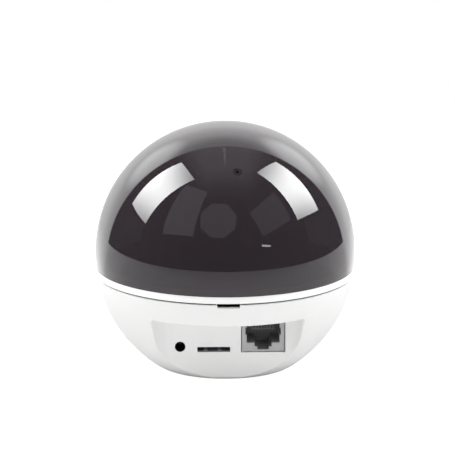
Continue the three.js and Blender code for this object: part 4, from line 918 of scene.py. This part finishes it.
notch = block("notch", around(0, NOTCH_TOP_WIDTH), (-BALL_RADIUS, -BALL_RADIUS + 3 * CASING_WALL),
              (CASING_TOP - NOTCH_HEIGHT, CASING_TOP + CUT_MARGIN))
pick(notch, "points", lambda place: place.z < CASING_TOP)
bpy.ops.transform.resize(value=(NOTCH_BOTTOM_WIDTH / NOTCH_TOP_WIDTH, 1, 1), center_override=(0, 0, 0))
done()
combine(casing, notch)
place_piece(casing, "base", "white_plastic", "base_shell")

# %% [markdown]
# ## The band
#
# The band is a ring turned on a lathe. It stands on a skirt that reaches down inside the casing, and a
# lip on top of it holds the dome in its place.

# %% Turn the band
DOME_WALL = 0.002
BAND_WALL = 0.0014
LIP_HEIGHT = 0.0012
SEAM = 0.00045
BAND_BOTTOM = CASING_TOP + SEAM
band_low, band_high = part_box("trim_ring")
skirt_radius = circle_at(CASING_CENTRE, BALL_RADIUS - CASING_WALL, band_low.z) - FITTING_GAP
lip_radius = circle_at(DOME_CENTRE, BALL_RADIUS - DOME_WALL, DOME_BOTTOM) - 2 * FITTING_GAP
band = turned("trim_band", [
    (skirt_radius - BAND_WALL, band_low.z),
    (skirt_radius, band_low.z),
    (skirt_radius, BAND_BOTTOM),
    (band_high.x, BAND_BOTTOM),
    (band_high.x, DOME_BOTTOM),
    (lip_radius, DOME_BOTTOM),
    (lip_radius, DOME_BOTTOM + LIP_HEIGHT),
    (lip_radius - BAND_WALL, DOME_BOTTOM + LIP_HEIGHT),
])
combine(band, block("notch_room", around(0, 2 * NOTCH_TOP_WIDTH), (-BALL_RADIUS, 0),
                    (band_low.z - CUT_MARGIN, BAND_BOTTOM - FITTING_GAP / 3)))
soften(band, CRISP_EDGE)
place_piece(band, "base", "gloss_white", "trim_ring")

# %% [markdown]
# A thin dark ring lies on the casing's rim as painted shade: it stands for the shadow deep in the seam
# under the band. From outside it shows as one fine dark line round the object.

# %% Lay the dark ring of painted seam shade
SEAM_SHADE_HEIGHT = 0.0003
SEAM_SHADE_INSET = 0.00015
rim_radius = circle_at(CASING_CENTRE, BALL_RADIUS, CASING_TOP)
shade_ring = turned("seam_shade_ring", section(skirt_radius + FITTING_GAP, rim_radius - SEAM_SHADE_INSET,
                                   CASING_TOP, CASING_TOP + SEAM_SHADE_HEIGHT))
combine(shade_ring, block("seam_shade_gap", around(0, NOTCH_TOP_WIDTH), (-BALL_RADIUS, 0),
                    (CASING_TOP - CUT_MARGIN, BAND_BOTTOM)))
# Its black finish is painted shade for the seam.
place_piece(shade_ring, "base", "black_plastic")

# %% [markdown]
# ## The dome
#
# The dome is two millimetres of smoke-tinted plastic with a polished surface inside and out. Both
# faces are turned in one outline, so that light passes two skins on its way in and two on its way out.
# Real light bends in the wall, so that the mirror images of the two faces fall nearly on top of each
# other. Here the outer face alone mirrors, which keeps the edges of the images single and crisp. A
# small sunk hole above the back lets sound in.

# %% Turn the dome
DOME_STEPS = 72
SOUND_HOLE_RADIUS = 0.0008
SOUND_HOLE_SINK_RADIUS = 0.0015
SOUND_HOLE_SINK_DEPTH = 0.0004
SOUND_HOLE_PLACE = (math.radians(48.8), math.radians(6.4), BALL_RADIUS)
dome_top = DOME_CENTRE + BALL_RADIUS
outer_outline = arc(DOME_CENTRE, BALL_RADIUS, DOME_BOTTOM, dome_top, DOME_STEPS)
inner_outline = arc(DOME_CENTRE, BALL_RADIUS - DOME_WALL, dome_top - DOME_WALL, DOME_BOTTOM, DOME_STEPS)
dome = turned("smoke_dome_shell", outer_outline + inner_outline)
combine(
    dome,
    stood(post("sound_hole", SOUND_HOLE_RADIUS, around(0, 4 * DOME_WALL)), *SOUND_HOLE_PLACE),
    stood(post("sound_sink", SOUND_HOLE_SINK_RADIUS, (-SOUND_HOLE_SINK_DEPTH, CUT_MARGIN)),
          *SOUND_HOLE_PLACE),
)
place_piece(dome, "base", "smoke_dome", "dome_cover")
dome.data.materials.append(finishes["smoke_dome_inside"])
for face in dome.data.polygons:
    if (face.center - dome_middle).length < BALL_RADIUS - DOME_WALL / 2:
        face.material_index = 1

# %% [markdown]
# A matt rubber grommet lines the sunk hole, so that the hole shows as one dark dot.

# %% Line the sound hole
GROMMET_RADIUS = 0.0013
GROMMET_BORE = 0.0005
GROMMET_SINK = 0.0001
grommet = turned("sound_grommet", [
    (GROMMET_BORE, -DOME_WALL),
    (SOUND_HOLE_RADIUS, -DOME_WALL),
    (SOUND_HOLE_RADIUS, -SOUND_HOLE_SINK_DEPTH),
    (GROMMET_RADIUS, -SOUND_HOLE_SINK_DEPTH),
    (GROMMET_RADIUS, -GROMMET_SINK),
    (GROMMET_BORE, -2 * GROMMET_SINK),
], 48)
stood(grommet, *SOUND_HOLE_PLACE)
place_piece(grommet, "base", "black_plastic", finish="black_rubber")

# %% [markdown]
# ## One screw for every place
#
# A screw is turned like the band. Its head is a low cushion with a cross cut into it, and its thread is
# drawn as rings, because only the thread's outline can be told apart at this size. Each copy gets a
# mesh of its own and then moves to its place.

# %% Make a screw
SCREW_RADIUS = 0.001
SCREW_HEAD_RADIUS = 0.0019
SCREW_HEAD_HEIGHT = 0.0009
HEAD_STEPS = 6
HEAD_EDGE_ANGLE = math.radians(15)
THREAD_PITCH = 0.0004
THREAD_DEPTH = 0.00018
CROSS_LENGTH = 0.0021
CROSS_WIDTH = 0.00045
CROSS_DEPTH = 0.0005


def fine_screw(name, length):
    """A screw that stands on its tip, with the underside of its head at height 0."""
    root = SCREW_RADIUS - THREAD_DEPTH
    outline = [(0, -length)]
    for ring in range(int(length / THREAD_PITCH)):
        height = -length + ring * THREAD_PITCH
        outline += [(root, height), (SCREW_RADIUS, height + THREAD_PITCH / 2)]
    outline += [(root, 0), (SCREW_HEAD_RADIUS, 0)]
    for step in range(HEAD_STEPS + 1):
        turn = HEAD_EDGE_ANGLE + (math.pi / 2 - HEAD_EDGE_ANGLE) * step / HEAD_STEPS
        outline.append((SCREW_HEAD_RADIUS * math.cos(turn), SCREW_HEAD_HEIGHT * math.sin(turn)))
    screw = turned(name, outline + [(0, SCREW_HEAD_HEIGHT)], 32)
    depth = (SCREW_HEAD_HEIGHT - CROSS_DEPTH, SCREW_HEAD_HEIGHT + CUT_MARGIN)
    long_arm = block("cross", around(0, CROSS_LENGTH), around(0, CROSS_WIDTH), depth)
    short_arm = block("cross", around(0, CROSS_WIDTH), around(0, CROSS_LENGTH), depth)
    return combine(screw, long_arm, short_arm)


# %% Set the screws of the base
screw_plan = (
    ("deck_screw", 3, DECK_SCREW_LENGTH, True),
    ("board_screw", 2, BOARD_SCREW_LENGTH, True),
    ("cover_screw", 3, COVER_SCREW_LENGTH, False),
)
for word, count, length, upright in screw_plan:
    model = fine_screw(f"fine_{word}", length)
    for number in range(1, count + 1):
        node = f"{word}_{number}"
        low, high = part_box(node)
        screw = copy_of(model, f"fine_{node}")
        screw.location = centre_of(node)
        screw.location.z = high.z - SCREW_HEAD_HEIGHT if upright else low.z + SCREW_HEAD_HEIGHT
        screw.rotation_euler.x = 0 if upright else math.pi
        place_piece(settle(screw), "base", "steel", node)
    bpy.data.objects.remove(model)

# %% [markdown]
# ## The inner shroud
#
# A second, smaller ball hides the works. It turns with the camera, and a slot at the front lets the
# camera look out. It is satin black, so that nothing of it shows through the dark dome but the small
# glowing window in its back, whose glow is a painted highlight. One screw holds it.

# %% Turn the shroud
SHROUD_WALL = 0.0014
SHROUD_SLOT_HALF_WIDTH = 0.0105
SHROUD_SLOT_BACK = 0.004
SHROUD_SLOT_SILL = 0.0024
SHROUD_FLANGE_HEIGHT = 0.0013
SHROUD_STEPS = 64
LIGHT_WIDTH = 0.0034
LIGHT_HEIGHT = 0.0005
LIGHT_SPAN = (-0.003, 0.0001)

shroud_low, shroud_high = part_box("inner_shroud")
shroud_radius = shroud_high.z - DOME_CENTRE
flange_top = shroud_low.z + SHROUD_FLANGE_HEIGHT
screw_place = (math.radians(71), math.radians(26))
light_place = (math.radians(15), math.radians(28), shroud_radius, math.radians(-8))

outside = arc(DOME_CENTRE, shroud_radius, flange_top, shroud_high.z, SHROUD_STEPS)
inside = arc(DOME_CENTRE, shroud_radius - SHROUD_WALL, shroud_high.z - SHROUD_WALL, shroud_low.z,
             SHROUD_STEPS)
flange = [(shroud_high.x, shroud_low.z), (shroud_high.x, flange_top)]
shroud = turned("shroud_ball", flange + outside + inside, 160)
across_wall = around(0, 4 * SHROUD_WALL)
light_hole = block("light_hole", around(0, LIGHT_WIDTH + FITTING_GAP), around(0, LIGHT_HEIGHT + FITTING_GAP),
                   across_wall)
combine(
    shroud,
    block("slot", around(0, 2 * SHROUD_SLOT_HALF_WIDTH), (-SHROUD_SLOT_BACK, BALL_RADIUS),
          (shroud_low.z + SHROUD_SLOT_SILL, dome_top)),
    stood(post("screw_hole", BOSS_BORE, across_wall), *screw_place, shroud_radius),
    stood(light_hole, *light_place),
)
place_piece(shroud, "pan_platform", "black_plastic", "inner_shroud")

# %% Screw and the window with its painted glint
shroud_screw = fine_screw("fine_shroud_screw", SHROUD_WALL)
stood(shroud_screw, *screw_place, shroud_radius + FITTING_GAP / 2)
place_piece(shroud_screw, "pan_platform", "steel", "shroud_screw")

# The status light's window, whose glow is a painted highlight.
light_window = block("light_window", around(0, LIGHT_WIDTH), around(0, LIGHT_HEIGHT), LIGHT_SPAN)
soften(light_window, SHARP_EDGE)
stood(light_window, *light_place)
place_piece(light_window, "pan_platform", "light_window", "status_light")

# %% [markdown]
# ## The network jack
#
# The jack is a dark moulded block in a folded can of tinned steel, whose face wraps over the block. The
# mouth is a stepped hole: the widest step takes the plug, and the two below it take the plug's latch.
# Shallow grooves in the side walls let the shield springs of a plug pass.

# %% The mouth
PLUG_WIDTH = 0.0117
PLUG_DEPTH = 0.012
PLUG_TOP = 0.0207
MOUTH_STEPS = ((PLUG_WIDTH, 0.0135), (0.0061, 0.0121), (0.0041, 0.011))
GROOVE_DEPTH = 0.00045
GROOVE_HEIGHTS = (0.0164, 0.019)
jack_middle = (jack_low.x + jack_high.x) / 2


def mouth(start, end):
    """The stepped space that the plug and its latch take, as one cutter."""
    spaces = [block("mouth_step", around(jack_middle, width), (start, end), (bottom, PLUG_TOP))
              for width, bottom in MOUTH_STEPS]
    grooves = block("grooves", around(jack_middle, PLUG_WIDTH + 2 * GROOVE_DEPTH), (start, end),
                    GROOVE_HEIGHTS)
    return combine(*spaces, grooves, operation="UNION")


# %% The steel can and the moulded block
JACK_SHEET = 0.0005
can = soften(block_like("jack_can", "network_jack_shield"), CRISP_EDGE)
combine(can, block("can_room", around(jack_middle, jack_high.x - jack_low.x - 2 * JACK_SHEET),
                   (jack_low.y + JACK_SHEET, jack_high.y - JACK_SHEET),
                   (jack_low.z - CUT_MARGIN, jack_high.z - JACK_SHEET)),
        mouth(jack_low.y - CUT_MARGIN, jack_low.y + 2 * JACK_SHEET))
place_piece(can, "base", "bare_metal", "network_jack_shield", finish="tin")

insert_low, insert_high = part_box("network_jack_insert")
block_front = jack_low.y + JACK_SHEET + CUT_MARGIN
jack_block = block("jack_block", (insert_low.x, insert_high.x), (block_front, insert_high.y),
                   (insert_low.z, insert_high.z))
combine(jack_block, mouth(block_front - CUT_MARGIN, insert_low.y + PLUG_DEPTH))
soften(jack_block, SHARP_EDGE)
place_piece(jack_block, "base", "grey_plastic", "network_jack_insert", finish="jack_grey")

# %% [markdown]
# Eight springy wires hang from a small carrier at the back of the mouth and slope up to its front. One
# wire is made from a thin bar that is bent at one place, and seven more stand beside it.

# %% The contacts
CONTACT_COUNT = 8
CONTACT_PITCH = 0.00102
CONTACT_WIDTH = 0.00046
CONTACT_THICKNESS = 0.0005
CARRIER_HEIGHT = 0.001
CARRIER_DEPTH = 0.002
contacts_low, contacts_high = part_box("network_jack_contacts")
wire_top = contacts_high.z
wire_bottom = wire_top - CARRIER_HEIGHT
wires = []
for number in range(CONTACT_COUNT):
    x = jack_middle + (number - (CONTACT_COUNT - 1) / 2) * CONTACT_PITCH
    wire = block("wire", around(x, CONTACT_WIDTH), (contacts_low.y, contacts_high.y - CARRIER_DEPTH / 2),
                 (wire_bottom, wire_bottom + CONTACT_THICKNESS))
    pick(wire, "edges", lambda start, end: abs(start.y - end.y) > CARRIER_DEPTH)
    bpy.ops.mesh.subdivide(number_cuts=3)
    done()
    pick(wire, "points", lambda place: place.y < contacts_low.y + CONTACT_THICKNESS)
    bpy.ops.transform.translate(value=(0, 0, contacts_low.z - wire_bottom))
    done()
    wires.append(soften(wire, SHARP_EDGE))
carrier = block("carrier", (contacts_low.x, contacts_high.x),
                (contacts_high.y - CARRIER_DEPTH, contacts_high.y), (wire_bottom, wire_top))
contacts = together("jack_wires", carrier, *wires)
place_piece(contacts, "base", "bare_metal", "network_jack_contacts", finish="dull_wire")

# %% [markdown]
# ## Card socket and power jack
#
# The card socket is a flat metal sleeve. A lip of its floor and two tongues pressed out of it reach into
# the slot. The power jack is a moulded block with a round nose in the hole, a bore and a pin.

# %% The card socket
CARD_SHEET = 0.00035
NOSE_GAP = 0.00004
TONGUE_OFFSETS = (-0.0029, 0.00205)
TONGUE_WIDTH = 0.0013
TONGUE_THICKNESS = 0.0005
TONGUE_OUT = 0.0017
TONGUE_IN = 0.003
TONGUE_EDGE = 0.00015
card_low, card_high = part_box("card_socket")
slot_floor = CARD_CENTRE - CARD_SLOT_HEIGHT / 2
nose_start = -RECESS_BACK + 2 * NOSE_GAP
socket = soften(block_like("card_sleeve", "card_socket"), CRISP_EDGE)
combine(socket, block("card_room", (card_low.x + CARD_SHEET, card_high.x - CARD_SHEET),
                      (card_low.y - CUT_MARGIN, card_high.y - CARD_SHEET),
                      (card_low.z + CARD_SHEET, card_high.z - CARD_SHEET)))
combine(socket, block("card_lip", around(CARD_X, CARD_SLOT_WIDTH - 2 * NOSE_GAP),
                      (nose_start, card_low.y + CUT_MARGIN),
                      (slot_floor + NOSE_GAP, slot_floor + CARD_SHEET)), operation="UNION")
place_piece(socket, "base", "bare_metal", "card_socket", finish="jack_grey")

tongues = []
for offset in TONGUE_OFFSETS:
    tongue = block("tongue", around(CARD_X + offset, TONGUE_WIDTH),
                   (card_low.y - TONGUE_OUT, card_low.y + TONGUE_IN),
                   (slot_floor, slot_floor + TONGUE_THICKNESS))
    tongues.append(soften(tongue, TONGUE_EDGE))
place_piece(together("card_tongues", *tongues), "base", "bare_metal", finish="tin")

# %% The power jack and its pin
PIN_RADIUS = 0.00065
PIN_TIP = 0.0004
power_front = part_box("power_jack")[0].y
pin_low, pin_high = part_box("power_jack_pin")
power_block = soften(block_like("power_block", "power_jack"), ROUND_EDGE)
combine(power_block, bar("power_nose", POWER_HOLE_RADIUS - NOSE_GAP, (nose_start, power_front + CUT_MARGIN),
                         POWER_X, POWER_CENTRE), operation="UNION")
combine(power_block, bar("power_bore", POWER_HOLE_RADIUS - FITTING_GAP / 2,
                         (nose_start - CUT_MARGIN, pin_high.y + FITTING_GAP), POWER_X, POWER_CENTRE))
place_piece(power_block, "base", "black_plastic", "power_jack")

pin = bar("power_pin", PIN_RADIUS, (pin_low.y, pin_high.y), POWER_X, POWER_CENTRE, 32)
soften(pin, PIN_TIP, segments=4)
# The metal pin takes black plastic instead of steel: painted shade, so that it stays dark in its hole.
place_piece(pin, "base", "steel", "power_jack_pin", finish="black_plastic")

# %% [markdown]
# ## The underside
#
# The bottom cover is a flat disc with three sunken screw seats and a hole for the reset button. The
# foot is a thin silicone ring with two fine grooves, so that it grips the table.

# %% The bottom cover
SEAT_RADIUS = 0.0022
SEAT_DEPTH = 0.0012
RESET_RADIUS = 0.002
cover_low, cover_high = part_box("bottom_cover")
reset_middle = centre_of("reset_button")
cover = post("cover_disc", COVER_SEAT_RADIUS - FITTING_GAP, (cover_low.z, cover_high.z), sides=128)
soften(cover, CRISP_EDGE)
cover_holes = [post("reset_hole", RESET_RADIUS + FITTING_GAP, (0, LEDGE_TOP), 0, reset_middle.y)]
for angle in COVER_SCREW_ANGLES:
    place = polar(ring_of("cover_screw_1"), angle)
    cover_holes.append(combine(
        post("screw_way", BOSS_BORE, (0, LEDGE_TOP), *place),
        post("screw_seat", SEAT_RADIUS, (0, cover_low.z + SEAT_DEPTH), *place),
        operation="UNION"))
combine(cover, together("cover_holes", *cover_holes))
place_piece(cover, "base", "grey_plastic", "bottom_cover")

# %% The foot ring
FOOT_INNER_RADIUS = 0.0175
FOOT_GROOVE_RADII = (0.0201, 0.0229)
FOOT_GROOVE_WIDTH = 0.0005
FOOT_GROOVE_DEPTH = 0.0002
foot_low, foot_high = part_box("foot_ring")
foot = turned("foot_pad", section(FOOT_INNER_RADIUS, foot_high.x, foot_low.z, foot_high.z), 128)
soften(foot, SHARP_EDGE)
for radius in FOOT_GROOVE_RADII:
    combine(foot, turned("groove", section(radius, radius + FOOT_GROOVE_WIDTH, -CUT_MARGIN,
                                           FOOT_GROOVE_DEPTH), 128))
place_piece(foot, "base", "pale_silicone", "foot_ring")

# %% The reset button
FLANGE_RADIUS = 0.0028
FLANGE_HEIGHT = 0.0008
reset_low, reset_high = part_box("reset_button")
flange_low = cover_high.z + FITTING_GAP
button = turned("reset_cap", [
    (0, reset_low.z),
    (RESET_RADIUS, reset_low.z),
    (RESET_RADIUS, flange_low),
    (FLANGE_RADIUS, flange_low),
    (FLANGE_RADIUS, flange_low + FLANGE_HEIGHT),
    (RESET_RADIUS, flange_low + FLANGE_HEIGHT),
    (RESET_RADIUS, reset_high.z),
    (0, reset_high.z),
], 48)
soften(button, ROUND_EDGE)
button.location.y = reset_middle.y
place_piece(settle(button), "reset_button", "grey_plastic", "reset_button")

# %% [markdown]
# ## The camera head
#
# The head is a ball flattened on both sides, with a round snout that carries the lens. Front and back
# are two shells that meet in front of the tilt axis. Everything turned about the lens axis is made
# upright first and then laid forward.

# %% Head sizes
TILT_AXIS = centre_of("lens_barrel").z
HEAD_RADIUS = 0.013
HEAD_WALL = 0.0012
HEAD_HALF_WIDTH = 0.011
HEAD_SPLIT = 0.0032
SNOUT_RADIUS = 0.0085
SNOUT_BORE = 0.0075
SNOUT_BEVEL = 0.0008
BEVEL_SHARE = 0.3
snout_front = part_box("head_front_shell")[1].y
print(f"tilt axis {TILT_AXIS * 1000:.1f} mm up")


def laid_forward(piece):
    """Lays an upright piece along the lens axis."""
    piece.rotation_euler.x = -math.pi / 2
    piece.location.z = TILT_AXIS
    return settle(piece)


def flat_ball(name, inset=0.0):
    """A ball about the tilt axis, flattened on both sides, at a depth inside the head's surface."""
    bpy.ops.mesh.primitive_uv_sphere_add(
        segments=96, ring_count=48, radius=HEAD_RADIUS - inset, location=(0, 0, TILT_AXIS),
        rotation=(0, math.pi / 2, 0))
    ball = named(name)
    half_width = HEAD_HALF_WIDTH - inset
    trim(ball, (half_width, 0, 0), (1, 0, 0))
    return trim(ball, (-half_width, 0, 0), (-1, 0, 0))


# %% The front shell
front_shell = flat_ball("head_front")
snout = laid_forward(turned("snout", [
    (0, 0),
    (SNOUT_RADIUS, 0),
    (SNOUT_RADIUS, snout_front - SNOUT_BEVEL),
    (SNOUT_RADIUS - SNOUT_BEVEL * BEVEL_SHARE, snout_front - SNOUT_BEVEL * BEVEL_SHARE),
    (SNOUT_RADIUS - SNOUT_BEVEL, snout_front),
    (0, snout_front),
], 96))
combine(front_shell, snout, operation="UNION")
trim(front_shell, (0, HEAD_SPLIT + FITTING_GAP / 2, 0), (0, -1, 0))
combine(front_shell, flat_ball("head_room", HEAD_WALL),
        bar("snout_bore", SNOUT_BORE, (0, snout_front + CUT_MARGIN), 0, TILT_AXIS, 96))
soften(front_shell, ROUND_EDGE)
place_piece(front_shell, "camera_head", "black_plastic", "head_front_shell")

# %% The rear shell
TRUNNION_RADIUS = 0.0026
TRUNNION_LENGTH = 0.0034
GEAR_SHAFT_RADIUS = 0.0018
rear_shell = flat_ball("head_rear")
trim(rear_shell, (0, HEAD_SPLIT - FITTING_GAP / 2, 0), (0, 1, 0))
combine(rear_shell, flat_ball("head_room", HEAD_WALL))


def pivot(name, radius, x):
    """A round pin that lies from side to side on the tilt axis."""
    bpy.ops.mesh.primitive_cylinder_add(
        vertices=48, radius=radius, depth=x[1] - x[0], location=((x[0] + x[1]) / 2, 0, TILT_AXIS),
        rotation=(0, math.pi / 2, 0))
    return named(name)


pivot_end = HEAD_HALF_WIDTH + TRUNNION_LENGTH
pivot_root = HEAD_HALF_WIDTH - HEAD_WALL / 2
combine(
    rear_shell,
    pivot("trunnion", TRUNNION_RADIUS, (pivot_root, pivot_end)),
    pivot("trunnion", TRUNNION_RADIUS, (-pivot_end, -pivot_root)),
    pivot("gear_shaft", GEAR_SHAFT_RADIUS, (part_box("head_rear_shell")[0].x, -pivot_end + CUT_MARGIN)),
    operation="UNION",
)
soften(rear_shell, ROUND_EDGE)
place_piece(rear_shell, "camera_head", "black_plastic", "head_rear_shell")

# %% [markdown]
# The face of the camera is a glossy window ring round the lens. Behind it four infrared emitters stand
# on a small round board. The lens is a threaded barrel with a curved front glass.

# %% The window and the ring round the lens
BARREL_BORE = 0.003
LENS_RING_RADIUS = 0.0046
LENS_RING_EDGE = 0.00025
window_low, window_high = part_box("face_window")


def ring(name, inner, outer, edge):
    """A round ring in the face of the camera, with softened edges."""
    piece = turned(name, section(inner, outer, window_low.y, window_high.y), 96)
    return laid_forward(soften(piece, edge))


window = ring("window_ring", LENS_RING_RADIUS + FITTING_GAP, SNOUT_BORE - FITTING_GAP, CRISP_EDGE)
place_piece(window, "camera_head", "gloss_black", "face_window")
lens_ring = ring("lens_front_ring", BARREL_BORE, LENS_RING_RADIUS, LENS_RING_EDGE)
place_piece(lens_ring, "camera_head", "black_plastic", "lens_ring")

# %% The lens
BARREL_RADIUS = 0.0039
BARREL_FLANGE = 0.006
BARREL_FLANGE_HEIGHT = 0.0016
BARREL_THREADS = 12
BARREL_THREAD_START = 0.001
BARREL_THREAD_PITCH = 0.0005
BARREL_THREAD_DEPTH = 0.0002
GLASS_EDGE = 0.0007
barrel_low, barrel_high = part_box("lens_barrel")
glass_low, glass_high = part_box("lens_glass")

barrel_step = barrel_low.y + BARREL_FLANGE_HEIGHT
threads = []
for step in range(BARREL_THREADS):
    y = barrel_step + BARREL_THREAD_START + step * BARREL_THREAD_PITCH
    threads += [(BARREL_RADIUS, y), (BARREL_RADIUS - BARREL_THREAD_DEPTH, y + BARREL_THREAD_PITCH / 2)]
barrel = turned("lens_tube", [
    (BARREL_BORE, barrel_low.y),
    (BARREL_FLANGE, barrel_low.y),
    (BARREL_FLANGE, barrel_step),
    (BARREL_RADIUS, barrel_step),
    *threads,
    (BARREL_RADIUS, barrel_high.y),
    (BARREL_BORE, barrel_high.y),
], 96)
place_piece(laid_forward(barrel), "camera_head", "black_plastic", "lens_barrel")

curve = (glass_high.x**2 + GLASS_EDGE**2) / (2 * GLASS_EDGE)
glass = turned("front_lens", [
    (0, glass_low.y),
    (glass_high.x, glass_low.y),
    *arc(glass_high.y - curve, curve, glass_high.y - GLASS_EDGE, glass_high.y, 16),
], 96)
place_piece(laid_forward(glass), "camera_head", "lens_glass", "lens_glass")

# %% The emitters
EMITTER_RADIUS = 0.00095
emitter_low, emitter_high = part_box("infrared_emitter_1")
emitter_shoulder = emitter_high.y - EMITTER_RADIUS
emitter_model = laid_forward(turned("emitter_model", [
    (0, emitter_low.y),
    (EMITTER_RADIUS, emitter_low.y),
    *arc(emitter_shoulder, EMITTER_RADIUS, emitter_shoulder, emitter_high.y, 10),
], 40))
for number in range(1, 5):
    node = f"infrared_emitter_{number}"
    emitter = copy_of(emitter_model, f"emitter_{number}")
    emitter.location = centre_of(node) - Vector((0, centre_of(node).y, TILT_AXIS))
    place_piece(settle(emitter), "camera_head", "emitter_clear", node)
bpy.data.objects.remove(emitter_model)

# %% [markdown]
# ## The rest of the works
#
# What is left keeps its own solid: boards, chips, gears, motors, the deck and the turntable. They are
# crisp machined or moulded shapes already, so a very small bevel and a finish are enough.

# %% Finish the solids that stay
SMALL_BEVEL = 0.00008
slots = {part["node"]: part["material_slot"] for part in frame["record"]["subparts"]}
kept = [name for name in slots if name in frame["nodes"] and not frame["nodes"][name].hide_render]
for name in kept:
    solid = frame["nodes"][name]
    edge = solid.modifiers.new("bevel", "BEVEL")
    edge.width = SMALL_BEVEL
    edge.segments = 2
    edge.limit_method = "ANGLE"
    solid.data.materials.clear()
    solid.data.materials.append(finishes[slots[name]])
print("solids that stay:", len(kept), kept)
